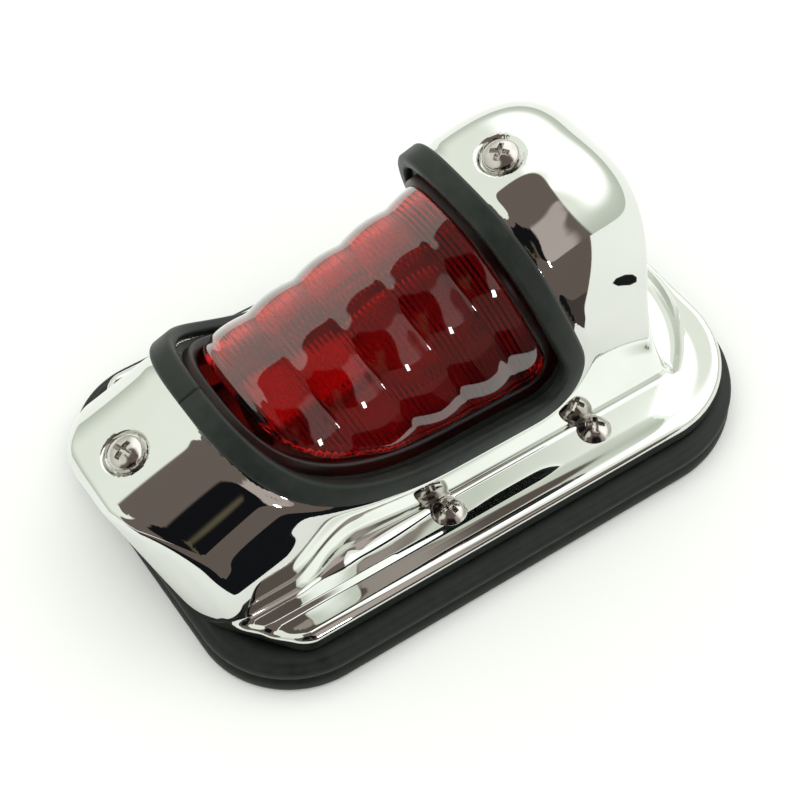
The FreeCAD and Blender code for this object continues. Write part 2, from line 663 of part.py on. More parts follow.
def make_grommet():
    gap, lip = size("seat_gap") / 3, size("grommet_lip")
    plate_bottom = PAD_TOP - size("plate_thick")
    neck = cylinder("grommet_neck", "sizes.grommet_hole - sizes.seat_gap / 3",
                    "sizes.plate_thick + 2 * sizes.grommet_lip", z=plate_bottom - lip)
    upper = cylinder("grommet_upper", "sizes.grommet_flange", "sizes.grommet_lip", z=PAD_TOP + gap)
    lower = cylinder("grommet_lower", "sizes.grommet_flange", "sizes.grommet_lip",
                     z=plate_bottom - lip - gap)
    bore = cylinder("grommet_hole_tool", "sizes.grommet_bore", "sizes.pad_height + %f" % SPARE)
    item = cut("wire_grommet", fuse("grommet_blank", neck, upper, lower), bore)
    return place(item, size("grommet_x"), size("grommet_y"))


# ---------------------------------------------------------------- number plate window

def make_window():
    """Clear pane, the rubber frame behind the wall and the two spring clips that hold the pane."""
    lap, thick, seal = size("window_lap"), size("window_thick"), size("window_seal")
    wide, high = size("window_wide"), size("window_high")
    pane_front = size("window_x") - seal
    outer = box("seal_outer", "sizes.window_seal", "sizes.window_wide + 2 * sizes.window_lap",
                "sizes.window_high + 2 * sizes.window_lap",
                pane_front, -wide / 2 - lap, size("window_z") - high / 2 - lap)
    inner = box("seal_inner", "sizes.window_seal", "sizes.window_wide", "sizes.window_high",
                pane_front, -wide / 2, size("window_z") - high / 2)
    rubber = cut("window_seal", outer, inner)
    pane = box("plate_window", "sizes.window_thick", "sizes.window_wide + 2 * sizes.window_lap",
               "sizes.window_high + 2 * sizes.window_lap",
               pane_front - thick, -wide / 2 - lap, size("window_z") - high / 2 - lap)
    clips = []
    for side in (-1, 1):
        name = "clip_near" if side < 0 else "clip_far"
        strap = size("clip_thick")
        edge = wide / 2 + lap + size("seat_gap")
        tab_y = side * edge if side > 0 else -edge - strap
        arm_y = edge + strap - size("clip_wide") if side > 0 else -edge - strap
        height = "sizes.window_high / 2"
        low = size("window_z") - high / 4
        back = pane_front - thick - strap
        leg = box(name + "_leg", "%f" % (size("window_x") - back), "sizes.clip_thick", height,
                  back, tab_y, low)
        arm = box(name + "_arm", "sizes.clip_thick", "sizes.clip_wide", height, back, arm_y, low)
        clips.append(fuse(name, leg, arm))
    return [rubber, pane, group("window_clips", clips)]


# ---------------------------------------------------------------- bulb socket

def on_socket(item, along=0.0):
    """Put a piece built along Z onto the socket axis."""
    return place(item, size("socket_x") + along, 0, size("socket_z"), ALONG_X)


def slot_tools(number, pin, turn):
    """One J-shaped slot: entry from the rim, a turn under the pin's seat and the seat itself."""
    half = size("pin_radius") + size("slot_clear")
    reach = size("shell_bore") + 2 * size("shell_wall")
    deep = pin - size("press_travel") - half
    tools = []
    for name, start, end, angle in (
        ("entry", deep, size("shell_front") + SPARE, turn - size("slot_turn")),
        ("seat", deep, pin + half, turn),
    ):
        arm = box("%s_%d" % (name, number), "%f" % reach, "%f" % (2 * half), "%f" % (end - start))
        spin = FreeCAD.Rotation(Vector(0, 0, 1), angle)
        corner = spin.multVec(Vector(0, -half, start))
        tools.append(place(arm, corner.x, corner.y, corner.z, spin))
    sector = cylinder("turn_%d" % number, "%f" % reach, "%f" % (2 * half), z=deep,
                      rotation=FreeCAD.Rotation(Vector(0, 0, 1), turn - size("slot_turn")))
    sector.Angle = size("slot_turn")
    return tools + [sector]


def make_shell():
    outer = cylinder("shell_outer", "sizes.shell_bore + sizes.shell_wall",
                     "sizes.shell_back + sizes.shell_front", z=-size("shell_back"))
    bore = cylinder("shell_inside", "sizes.shell_bore",
                    "sizes.shell_back + sizes.shell_front", z=size("shell_floor") - size("shell_back"))
    lead = cylinder("shell_lead_hole", "sizes.lead_hole", "sizes.shell_back", z=-2 * size("shell_back"))
    lead.Placement.Base.z = -size("shell_back") - SPARE
    slots = slot_tools(1, size("pin_1"), 90) + slot_tools(2, size("pin_2"), 270)
    return on_socket(cut("socket_shell", outer, bore, lead, *slots))


def make_bracket():
    """Angle bracket: the shell passes through its upright and the foot is riveted to the plate."""
    x, wide = size("bracket_x"), size("bracket_wide")
    rise = size("socket_z") + size("shell_bore") + 3 * size("shell_wall") - PAD_TOP
    upright = box("bracket_upright", "sizes.bracket_thick", "sizes.bracket_wide", "%f" % rise,
                  x, -wide / 2, PAD_TOP)
    foot = box("bracket_base", "sizes.bracket_foot", "sizes.bracket_wide", "sizes.bracket_thick",
               x, -wide / 2, PAD_TOP)
    hole = cylinder("bracket_hole", "sizes.shell_bore + sizes.shell_wall", "sizes.bracket_foot",
                    x - SPARE, 0, size("socket_z"), ALONG_X)
    return cut("socket_bracket", fuse("bracket_blank", upright, foot), hole)


def make_rivets():
    items = []
    x = size("bracket_x") + size("bracket_foot") * 0.6
    top = PAD_TOP + size("bracket_thick")
    for number, side in enumerate((-1, 1)):
        head = cylinder("rivet_head_%d" % number, "sizes.rivet_head", "sizes.rivet_high",
                        x, side * size("rivet_spacing") / 2, top)
        items.append(head)
    return group("bracket_rivets", items)


def make_carrier():
    """Insulating disc with two brass pads that the bulb's contacts press on."""
    disc = cylinder("contact_disc", "sizes.disc_radius", "sizes.disc_thick")
    on_socket(disc, -size("contact_thick") - size("disc_thick"))
    pads = []
    for number, side in enumerate((-1, 1)):
        pad = cylinder("pad_%d" % number, "sizes.contact_radius", "sizes.contact_thick")
        on_socket(pad, -size("contact_thick"))
        pad.Placement.Base.y = side * size("contact_offset")
        pads.append(pad)
    return [disc, group("contact_pads", pads)]


def make_spring():
    """Coil between the shell's floor and the contact disc."""
    wire = size("spring_wire")
    gap = size("slot_clear") / 2
    start = size("shell_floor") - size("shell_back") + wire / 2 + gap
    end = -size("contact_thick") - size("disc_thick") - wire / 2 - gap
    turns, radius = size("spring_turns"), size("spring_radius")
    whole = 2 * math.pi * turns
    climb = (end - start) / whole

    def ring(angle):
        around = Vector(math.cos(angle), math.sin(angle), 0)
        along = Vector(-radius * around.y, radius * around.x, climb)
        circle = Part.makeCircle(wire / 2, around * radius + Vector(0, 0, climb * angle), along)
        return Part.Wire(circle)

    quarters, steps = int(4 * turns), 6
    lofts = []
    for quarter in range(quarters):
        angles = [whole * (quarter + step / steps) / quarters for step in range(steps + 1)]
        lofts.append(Part.makeLoft([ring(angle) for angle in angles], True, False))
    coil = lofts[0].fuse(lofts[1:])
    return on_socket(feature("contact_spring", coil), start)


# ---------------------------------------------------------------- bulb

def revolved(points):
    """Solid of revolution about Z from an outline of radius and height."""
    outline = Part.Wire(polyline([Vector(radius, 0, along) for radius, along in points + points[:1]]))
    return Part.Face(outline).revolve(Vector(), Vector(0, 0, 1), 360)


def make_cap():
    """Brass cap with its two offset pins."""
    cup = cylinder("cap_outer", "sizes.cap_radius", "sizes.cap_length - sizes.tip_high")
    bore = cylinder("cap_bore", "sizes.cap_radius - sizes.cap_wall", "sizes.cap_length")
    wall = cut("cap_wall_tube", cup, bore)
    wall.Placement.Base.z = size("tip_high")
    pins = []
    inner = size("cap_radius") - size("cap_wall")
    for number, (along, side) in enumerate(((size("pin_1"), 1), (size("pin_2"), -1))):
        spin = FreeCAD.Rotation(Vector(1, 0, 0), -90 * side)
        pins.append(cylinder("pin_%d" % number, "sizes.pin_radius",
                             "sizes.pin_reach - sizes.cap_radius + sizes.cap_wall",
                             0, side * inner, along, spin))
    return on_socket(fuse("bulb_cap", wall, *pins))


def make_insulator():
    return on_socket(cylinder("bulb_insulator", "sizes.cap_radius - sizes.cap_wall",
                              "sizes.insulator_thick"), size("tip_high"))


def make_tips():
    tips = []
    for number, side in enumerate((-1, 1)):
        tip = cylinder("tip_%d" % number, "sizes.tip_radius", "sizes.tip_high")
        on_socket(tip)
        tip.Placement.Base.y = side * size("contact_offset")
        tips.append(tip)
    return group("bulb_contacts", tips)


def glass_curve(drop):
    """Pear-shaped outline of the glass, drawn in by the drop."""
    neck, belly = size("neck_radius") - drop, size("bulb_radius") - drop
    start = size("tip_high") + size("insulator_thick")
    middle, end = size("bulb_middle"), size("bulb_length") - drop
    shoulder = size("cap_length") + size("tip_high")
    curve = Part.BSplineCurve()
    spots = [Vector(neck, 0, shoulder), Vector((neck + belly) / 2, 0, (shoulder + middle) / 2 - 1.5),
             Vector(belly, 0, middle), Vector(belly * math.sqrt(0.5), 0, middle + (end - middle) * 0.72),
             Vector(0, 0, end)]
    curve.interpolate(Points=spots, InitialTangent=Vector(0, 0, 1), FinalTangent=Vector(-1, 0, 0))
    edges = [Part.makeLine(Vector(neck, 0, start), spots[0]), curve.toShape()]
    edges += polyline([spots[-1], Vector(0, 0, start), Vector(neck, 0, start)])
    return Part.Face(Part.Wire(edges)).revolve(Vector(), Vector(0, 0, 1), 360)


def make_glass():
    inner = glass_curve(size("glass_wall"))
    return on_socket(feature("bulb_glass", glass_curve(0.0).cut(inner)))


def make_stem():
    """Glass foot that carries the support wires."""
    start = size("tip_high") + size("insulator_thick")
    inner = size("neck_radius") - size("glass_wall")
    wide, end = size("stem_radius"), size("stem_end")
    flare = (start + end) / 2
    return on_socket(feature("bulb_stem", revolved(
        [(0, start), (inner, start), (inner, start + SPARE), (wide, flare), (wide * 0.7, end), (0, end)])))


def rod_between(start, end, radius):
    way = end - start
    return Part.makeCylinder(radius, way.Length, start, way)


def make_filaments():
    """Two straight coils, one for the tail and one for the brake."""
    half = size("filament_length") / 2
    coils = []
    for number, (along, lift) in enumerate(((size("filament_1"), -1), (size("filament_2"), 1))):
        coil = cylinder("filament_%d" % number, "sizes.filament_radius", "sizes.filament_length",
                        rotation=FreeCAD.Rotation(Vector(1, 0, 0), -90))
        coil.Placement.Base = Vector(size("socket_x") + along, -half,
                                     size("socket_z") + lift * size("filament_lift"))
        coils.append(coil)
    return group("bulb_filaments", coils)


def make_supports():
    """Support wires from the glass foot to the ends of both coils."""
    half, radius = size("filament_length") / 2, size("lead_radius")
    foot = size("stem_end")
    wires = []
    for along, lift in ((size("filament_1"), 1), (size("filament_2"), -1)):
        height = lift * size("filament_lift")
        for side in (-1, 1):
            low = Vector(height * 0.35, side * size("stem_radius") * 0.4, foot)
            high = Vector(height, side * (half - radius), along - size("filament_radius"))
            wires.append(rod_between(low, high, radius))
    return on_socket(feature("filament_supports", Part.makeCompound(wires)))


# ---------------------------------------------------------------- build, check and write

nodes = [
    make_gasket(), make_base_plate(), make_housing(), make_trim(), make_lens(), make_lens_seal(),
    make_end_screw("nose_screw", size("nose_screw_x")),
    make_end_screw("crown_screw", size("crown_screw_x")),
    make_side_screws(),
    make_post("nose_post", size("nose_screw_x")), make_post("crown_post", size("crown_screw_x")),
    make_nuts(), make_grommet(),
]
nodes += make_window()
nodes += [make_shell(), make_bracket(), make_rivets()]
nodes += make_carrier()
nodes += [
    make_spring(), make_cap(), make_insulator(), make_tips(), make_glass(), make_stem(),
    make_filaments(), make_supports(),
]
doc.recompute()

for item in doc.Objects:
    if "Invalid" in item.State or "Error" in item.State:
        raise RuntimeError("%s did not build: %s" % (item.Label, item.State))
for node in nodes:
    if node.Shape.isNull() or not node.Shape.isValid() or not node.Shape.Solids:
        raise RuntimeError("%s has no valid solid" % node.Label)

os.makedirs("parts", exist_ok=True)
for node in nodes:
    node.Shape.exportStep("parts/%s.step" % node.Label)
    print("%-18s %2d solids, %9.1f mm3" % (node.Label, len(node.Shape.Solids), node.Shape.Volume))
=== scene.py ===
"""Chrome tail light with a red lens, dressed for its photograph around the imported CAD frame."""
import json
import math

import bmesh
import bpy
import numpy as np
from mathutils import Matrix, Vector


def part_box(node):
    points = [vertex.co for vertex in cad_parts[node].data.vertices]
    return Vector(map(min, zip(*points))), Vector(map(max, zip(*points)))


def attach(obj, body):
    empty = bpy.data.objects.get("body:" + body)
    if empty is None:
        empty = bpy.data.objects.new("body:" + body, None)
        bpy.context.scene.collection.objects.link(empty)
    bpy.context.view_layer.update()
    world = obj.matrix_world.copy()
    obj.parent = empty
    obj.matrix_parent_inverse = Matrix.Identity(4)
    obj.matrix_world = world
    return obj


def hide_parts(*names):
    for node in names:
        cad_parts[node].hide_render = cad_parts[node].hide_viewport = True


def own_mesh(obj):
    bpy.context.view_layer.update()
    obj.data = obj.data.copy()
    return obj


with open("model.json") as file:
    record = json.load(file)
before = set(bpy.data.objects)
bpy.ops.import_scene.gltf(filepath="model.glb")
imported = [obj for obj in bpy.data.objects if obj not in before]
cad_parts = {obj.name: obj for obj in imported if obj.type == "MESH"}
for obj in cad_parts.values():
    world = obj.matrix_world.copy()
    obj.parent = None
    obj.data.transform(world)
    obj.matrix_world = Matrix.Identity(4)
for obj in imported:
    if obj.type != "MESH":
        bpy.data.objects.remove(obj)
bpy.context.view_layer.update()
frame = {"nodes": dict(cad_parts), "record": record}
nodes = frame["nodes"]

# sizes are in millimetres; x runs from the nose to the deep end, -y is the near side and z is up
MM = 0.001
TILT = math.radians(20.0)
LEAN = math.tan(TILT)
SEAT_UP = np.array([-math.sin(TILT), 0.0, math.cos(TILT)])
PAD_TOP = 9.0
# the hump: half width, height of its top line at x = 0, how that line bends down into the dome,
# and the draft of the wall beside the nose
HUMP_HALF, CREST = 32.0, 78.5
CREST_START, CREST_RUN, CREST_POWER = 9.0, 52.0, 2.7
FLARE_TOP, FLARE_RATE, FLARE_ROUND = 30.0, 0.19, 3.0
NOSE_X = -84.0
END_WALL_X, END_WALL_Z = 48.6, 48.0
SEEN_WALL, QUICK_WALL = 2.0, 2.8
# the flange: outline, slanted ends beside the nose, rolled edge, and the dish at the deep end's foot
FLANGE_END, FLANGE_HALF, FLANGE_CORNER, FLANGE_HIGH = 77.6, 49.4, 31.0, 5.9
SLANT_START, SLANT_RUN, SLANT_WIDE, SLANT_LENGTH = -67.0, 14.0, 18.4, 23.12
ROLL_START, ROLL_WIDE, ROLL_DEEP, SHELF_START = 1.6, 6.2, 1.8, 7.8
DISH_X, DISH_RADIUS, DISH_TOP, DISH_START = 34.0, 41.3, 10.4, 57.5


# ---------------------------------------------------------------- mesh helpers

def add_object(name, data):
    item = bpy.data.objects.new(name, data)
    bpy.context.scene.collection.objects.link(item)
    return item


def mesh_object(name, points, faces, normals=None):
    """Smooth object from points in millimetres."""
    mesh = bpy.data.meshes.new(name)
    places = (np.asarray(points, float) * MM).tolist()
    mesh.from_pydata(places, [], [list(map(int, face)) for face in faces])
    mesh.validate(clean_customdata=False)
    mesh.polygons.foreach_set("use_smooth", [True] * len(mesh.polygons))
    if normals is not None:
        mesh.normals_split_custom_set_from_vertices(np.asarray(normals, float).tolist())
    mesh.update()
    return add_object(name, mesh)


def ring_faces(count, size, closed=False):
    """Quads between rings of the same size; closed joins the last ring to the first."""
    faces = []
    for ring in range(count if closed else count - 1):
        after = (ring + 1) % count
        for k in range(size):
            k2 = (k + 1) % size
            faces.append((ring * size + k, ring * size + k2, after * size + k2, after * size + k))
    return faces


def weld(item, distance=0.00002):
    """Joins points that lie on each other and turns the faces outwards; the distance is in metres."""
    work = bmesh.new()
    work.from_mesh(item.data)
    bmesh.ops.remove_doubles(work, verts=work.verts, dist=distance)
    bmesh.ops.dissolve_degenerate(work, edges=work.edges, dist=distance / 2.0)
    bmesh.ops.recalc_face_normals(work, faces=work.faces)
    for face in work.faces:
        face.smooth = True
    work.to_mesh(item.data)
    work.free()


def spread_evenly(path, count):
    """The same path with evenly spaced points."""
    length = np.concatenate([[0.0], np.cumsum(np.linalg.norm(np.diff(path, axis=0), axis=1))])
    even = np.linspace(0.0, length[-1], count)
    return np.stack([np.interp(even, length, path[:, axis]) for axis in range(3)], 1)


def gradient(field, points, step=0.02):
    """Central differences of a field at an array of points."""
    result = np.empty_like(points)
    for axis in range(3):
        shift = np.zeros(3)
        shift[axis] = step
        ahead, behind = points + shift, points - shift
        result[:, axis] = (field(*ahead.T) - field(*behind.T)) / (2.0 * step)
    return result


def settle(field, points, rounds, reach):
    """Newton steps that put the points onto the zero surface."""
    for _ in range(rounds):
        slope = gradient(field, points)
        square = np.maximum((slope ** 2).sum(1), 0.05)
        move = -(field(*points.T) / square)[:, None] * slope
        length = np.linalg.norm(move, axis=1)
        move *= np.minimum(1.0, reach / np.maximum(length, 1e-9))[:, None]
        points = points + move
    return points


def net(field, low, high, cell, relax=3):
    """Quad mesh of the zero surface of a field: surface nets, evened out and settled."""
    axes = [np.arange(a, b + cell, cell) for a, b in zip(low, high)]
    grid = np.meshgrid(*axes, indexing="ij")
    values = field(*grid)
    inside = values < 0.0
    shape = np.array(values.shape)
    cells = shape - 1
    total = int(cells.prod())
    count = np.zeros(total)
    sums = np.zeros((3, total))
    rows = []
    for axis in range(3):
        other = [a for a in range(3) if a != axis]
        first = [slice(None)] * 3
        second = [slice(None)] * 3
        first[axis], second[axis] = slice(0, -1), slice(1, None)
        start, end = inside[tuple(first)], inside[tuple(second)]
        index = np.argwhere(start != end)
        ok = np.ones(len(index), bool)
        for a in other:
            ok &= (index[:, a] > 0) & (index[:, a] < shape[a] - 1)
        index = index[ok]
        ahead = index.copy()
        ahead[:, axis] += 1
        v0, v1 = values[tuple(index.T)], values[tuple(ahead.T)]
        share = v0 / (v0 - v1)
        point = np.array(low, float) + index * cell
        point[:, axis] += share * cell
        corners = []
        for da, db in ((-1, -1), (0, -1), (0, 0), (-1, 0)):
            spot = index.copy()
            spot[:, other[0]] += da
            spot[:, other[1]] += db
            key = np.ravel_multi_index(spot.T, cells)
            corners.append(key)
            count += np.bincount(key, minlength=total)
            for c in range(3):
                sums[c] += np.bincount(key, weights=point[:, c], minlength=total)
        quads = np.stack(corners, 1)
        flip = start[tuple(index.T)]
        if axis == 1:
            flip = ~flip
        quads[~flip] = quads[~flip][:, ::-1]
        rows.append(quads)
    used = np.flatnonzero(count)
    order = np.full(total, -1)
    order[used] = np.arange(len(used))
    points = (sums[:, used] / count[used]).T
    quads = order[np.concatenate(rows)]
    points = settle(field, points, 2, cell)
    edges = np.concatenate([quads[:, [0, 1]], quads[:, [1, 2]], quads[:, [2, 3]], quads[:, [3, 0]]])
    one, two = edges.T
    links = np.bincount(edges.ravel(), minlength=len(points))
    for _ in range(relax):
        near = np.zeros_like(points)
        for c in range(3):
            near[:, c] = np.bincount(one, weights=points[two, c], minlength=len(points))
            near[:, c] += np.bincount(two, weights=points[one, c], minlength=len(points))
        points = points + 0.5 * (near / links[:, None] - points)
        points = settle(field, points, 2, cell)
    slope = gradient(field, points)
    slope /= np.maximum(np.linalg.norm(slope, axis=1), 1e-9)[:, None]
    return points, quads, slope


def both(a, b, r=0.0):
    """Intersection of two fields with a rounded edge."""
    if r <= 0.0:
        return np.maximum(a, b)
    return np.minimum(-r, np.maximum(a, b)) + np.hypot(np.maximum(a + r, 0.0), np.maximum(b + r, 0.0))


def either(a, b, r):
    """Union of two fields with a fillet of radius r, which may vary from place to place."""
    corner = np.hypot(np.maximum(r - a, 0.0), np.maximum(r - b, 0.0))
    return np.maximum(r, np.minimum(a, b)) - corner


def ease(value):
    share = np.clip(value, 0.0, 1.0)
    return share * share * (3.0 - 2.0 * share)


# ---------------------------------------------------------------- the housing's surfaces

def crest(x):
    """Height of the top line above the pad."""
    share = np.clip((x - CREST_START) / CREST_RUN, 0.0, 0.995)
    bend = (1.0 - share ** CREST_POWER) ** (1.0 / CREST_POWER)
    return np.maximum((CREST + LEAN * x - PAD_TOP) * bend, 1.0)


def roundness(x):
    """Power of the hump's section: softer at the nose and squarer towards the deep end."""
    return 2.45 + 0.55 * ease((x + 92.0) / 50.0)


def hump_ratio(x, y, z):
    """Negative inside the hump; its wall flares towards the foot beside the nose."""
    power = roundness(x)
    below = FLARE_TOP - z
    flare = FLARE_RATE * 0.5 * (below + np.hypot(below, FLARE_ROUND)) * ease((-42.0 - x) / 20.0)
    across = np.maximum(np.abs(y) / (HUMP_HALF + flare), 1e-4)
    up = np.maximum((z - PAD_TOP) / crest(x), 1e-4)
    return (across ** power + up ** power) ** (1.0 / power) - 1.0


def hump(x, y, z):
    """About the distance to the hump's skin."""
    step = 0.05
    value = hump_ratio(x, y, z)
    slope = ((hump_ratio(x + step, y, z) - value) ** 2 + (hump_ratio(x, y + step, z) - value) ** 2
             + (hump_ratio(x, y, z + step) - value) ** 2) ** 0.5 / step
    return value / np.maximum(slope, 0.008)


def nose_plane(x, z):
    return (NOSE_X - LEAN * (z - PAD_TOP) - x) * math.cos(TILT)


def end_wall(x, z):
    """Hollow wall under the dome that carries the number plate window."""
    below = np.maximum(END_WALL_Z - z, 0.0)
    above = np.maximum(z - END_WALL_Z, 0.0)
    line = END_WALL_X + 0.0112 * below ** 1.9 + 0.004 * above ** 2
    slope = np.hypot(1.0, 0.0213 * below ** 0.9)
    return (x - line) / slope


def plan(x, y):
    """Distance to the flange's outline seen from above, without its slanted ends."""
    ay = np.abs(y)
    dx, dy = x - (FLANGE_END - FLANGE_CORNER), ay - (FLANGE_HALF - FLANGE_CORNER)
    return np.where((dx > 0.0) & (dy > 0.0), np.hypot(dx, dy) - FLANGE_CORNER,
                    np.maximum(x - FLANGE_END, ay - FLANGE_HALF))


def slant(x, y):
    """Slanted ends of the flange beside the nose."""
    return ((x - SLANT_START) * -SLANT_WIDE + (np.abs(y) - FLANGE_HALF) * SLANT_RUN) / SLANT_LENGTH


def flange(x, y, z):
    """Slab with a rolled edge, a shelf inside the roll and the dish under the deep end's wall."""
    outline = plan(x, y)
    inward = -outline
    nose_side = ease((-2.0 - x) / 44.0)
    share = np.clip((inward - ROLL_START) / ROLL_WIDE, 0.0, 1.0)
    roll = ROLL_DEEP * (share - 0.06 * np.sin(2.0 * math.pi * share))
    shelf = 0.6 * nose_side * ease((inward - SHELF_START) / 2.6)
    fall = np.clip(inward - SHELF_START - 2.0 * nose_side, 0.0, 9.0)
    shelf = shelf - (0.075 + 0.165 * nose_side) * fall
    top = PAD_TOP + FLANGE_HIGH - roll + shelf
    slab = both(outline, z - top, 2.6)
    ring = np.hypot(x - DISH_X, y) - DISH_RADIUS
    dish = both(both(ring, DISH_TOP - z, 3.0), DISH_START - x, 3.0)
    return both(slab, -dish, 1.4)


# the lens opening seen from the side: a bow at the nose, a straight sill, a round corner and a leaning arch
OPEN_SILL, OPEN_BOW, OPEN_CORNER = 24.5, 66.5, 14.0
BOW_X, BOW_Z = -14.0, OPEN_SILL + OPEN_BOW
ARCH_X, ARCH_Z = 26.4, 41.0
HUB_Z = OPEN_SILL + OPEN_CORNER
HUB_X = ARCH_X - (HUB_Z - ARCH_Z) * LEAN - OPEN_CORNER / math.cos(TILT)


def opening(x, z):
    """Distance to the lens opening's outline seen from the side."""
    bow = np.where(x < BOW_X, np.hypot(x - BOW_X, np.minimum(z - BOW_Z, 0.0)) - OPEN_BOW, OPEN_SILL - z)
    bow = np.maximum(bow, BOW_X - x - OPEN_BOW)
    arch = (x - (ARCH_X - (z - ARCH_Z) * LEAN)) * math.cos(TILT)
    in_corner = (x > HUB_X) & ((x - HUB_X) * math.sin(TILT) - (z - HUB_Z) * math.cos(TILT) > 0.0)
    return np.where(in_corner, np.hypot(x - HUB_X, z - HUB_Z) - OPEN_CORNER, np.maximum(bow, arch))


def outer_skin(x, y, z):
    """Whole outside of the housing."""
    body = both(hump(x, y, z), end_wall(x, z), 3.2)
    fillet = 1.5 + 3.7 * ease((x + 57.0) / 12.0) * (1.0 - ease((x + 42.0) / 34.0))
    whole = either(body, flange(x, y, z), fillet)
    whole = both(whole, slant(x, y), 2.6)
    # the skin sinks a little where it runs under the rubber strip
    whole = whole + 0.75 * np.exp(-(np.maximum(opening(x, z), 0.0) / 1.9) ** 2)
    return both(whole, nose_plane(x, z), 4.2)


def near_unit(field, x, y, z, band=7.0, step=0.05):
    """A field and, near its surface, the same field divided by its slope."""
    value = field(x, y, z)
    even = value.copy()
    close = np.abs(value) < band
    px, py, pz, here = x[close], y[close], z[close], value[close]
    slope = ((field(px + step, py, pz) - here) ** 2 + (field(px, py + step, pz) - here) ** 2
             + (field(px, py, pz + step) - here) ** 2) ** 0.5 / step
    even[close] = here / np.clip(slope, 0.5, 3.0)
    return even


def box_of(node):
    """A node's box in millimetres."""
    low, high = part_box(node)
    return np.array(low) / MM, np.array(high) / MM


def points_of(node):
    """A node's points in millimetres."""
    return np.array([vertex.co for vertex in nodes[node].data.vertices]) / MM


def drill(x, y, z, centre, axis, radius, floor, deep=60.0):
    """Round sinking from a floor outwards along an axis."""
    dx, dy, dz = x - centre[0], y - centre[1], z - centre[2]
    along = dx * axis[0] + dy * axis[1] + dz * axis[2]
    off = np.sqrt(np.maximum(dx * dx + dy * dy + dz * dz - along * along, 0.0))
    return both(off - radius, np.abs(along - floor - deep / 2.0) - deep / 2.0, 0.5)


def end_screw(node):
    """A point on the axis of a leaning end screw, and the height of its top along that axis."""
    vertices = points_of(node)
    along = vertices @ SEAT_UP
    radial = vertices - np.outer(along, SEAT_UP)
    return (radial.min(0) + radial.max(0)) / 2.0, along.max()


def side_spots():
    """Axes of the four side screws in plan: the near pair, then the far pair."""
    vertices = points_of("side_screws")
    low, high = box_of("side_screws")
    spots = []
    for near in (True, False):
        for left in (True, False):
            pick = (vertices[:, 1] < 0) == near
            pick &= (vertices[:, 0] < (low[0] + high[0]) / 2.0) == left
            part = vertices[pick]
            spots.append((part.min(0) + part.max(0)) / 2.0)
    return spots


END_SCREWS = {node: end_screw(node) for node in ("nose_screw", "crown_screw")}
HEAD_HIGH, SIDE_HEAD_HIGH, SIDE_HEAD_DROP = 3.0, 3.6, 0.4
SEAT_RADIUS, SEAT_ROUND = 5.5, 1.1
WINDOW_HALF, WINDOW_Z, WINDOW_HALF_HIGH, WINDOW_START = 18.0, 51.0, 7.0, 40.0
HOLE_INSET = 4.5


def housing_field(x, y, z):
    """The shell, open below, at the lens and at the number plate window, with seats for the end screws."""
    outside = near_unit(outer_skin, x, y, z)
    for centre, top in END_SCREWS.values():
        seat = drill(x, y, z, centre, SEAT_UP, SEAT_RADIUS, top - HEAD_HIGH)
        outside = both(outside, -seat, SEAT_ROUND)
    shell = both(outside, -(outside + SEEN_WALL), 0.0)
    shell = both(shell, PAD_TOP - z, 0.5)
    window = both(both(np.abs(y) - WINDOW_HALF, np.abs(z - WINDOW_Z) - WINDOW_HALF_HIGH, 2.0),
                  WINDOW_START - x, 0.0)
    shell = both(shell, -window, 0.6)
    return both(shell, -(opening(x, z) + HOLE_INSET), 0.4)


def make_housing():
    cell = 0.9
    low, high = (-104.0, -52.0, 6.5), (80.0, 52.0, 90.0)
    points, quads, normals = net(housing_field, low, high, cell)
    return mesh_object("housing_shell", points, quads, normals)


# ---------------------------------------------------------------- the rubber edge strip and the lens rim

def outline_path(inset, count):
    """Points on the hump along the opening's outline, from the nose by the near side to the crown."""
    bow, corner = OPEN_BOW - inset, OPEN_CORNER - inset
    flat = []
    for angle in np.linspace(math.pi, 1.5 * math.pi, 400):
        flat.append((BOW_X + bow * math.cos(angle), BOW_Z + bow * math.sin(angle)))
    for angle in np.linspace(1.5 * math.pi, 2.0 * math.pi + TILT, 100):
        flat.append((HUB_X + corner * math.cos(angle), HUB_Z + corner * math.sin(angle)))
    last = flat[-1]
    for climb in np.linspace(0.0, 70.0, 400)[1:]:
        flat.append((last[0] - climb * math.sin(TILT), last[1] + climb * math.cos(TILT)))
    flat = np.array(flat)
    steps = np.linalg.norm(np.diff(flat, axis=0), axis=1)
    travel = np.concatenate([[0.0], np.cumsum(steps)])
    fine = np.linspace(0.0, travel[-1], 24000)
    x, z = np.interp(fine, travel, flat[:, 0]), np.interp(fine, travel, flat[:, 1])
    power = roundness(x)
    up = (z - PAD_TOP) / crest(x)
    keep = (up < 1.0) & (z > PAD_TOP)
    x, z, power, up = x[keep], z[keep], power[keep], up[keep]
    y = -HUMP_HALF * (1.0 - up ** power) ** (1.0 / power)
    near = np.stack([x, y, z], 1)
    near[0, 1] = near[-1, 1] = 0.0
    return spread_evenly(near, count)


def full_loop(inset, count):
    """Near half and its mirror image as one path that starts and ends at the nose."""
    near = outline_path(inset, count)
    far = near[::-1][1:] * np.array([1.0, -1.0, 1.0])
    return np.concatenate([near, far])


def smooth_path(path, rounds=12):
    for _ in range(rounds):
        middle = (path[:-2] + path[2:]) / 2.0
        path = np.concatenate([path[:1], path[1:-1] + 0.5 * (middle - path[1:-1]), path[-1:]])
    return path


def frames(path):
    """Across and outward directions along a path on the hump."""
    along = np.gradient(path, axis=0)
    along /= np.linalg.norm(along, axis=1)[:, None]
    out = gradient(hump, path)
    out -= (out * along).sum(1)[:, None] * along
    out /= np.linalg.norm(out, axis=1)[:, None]
    return np.cross(out, along), out


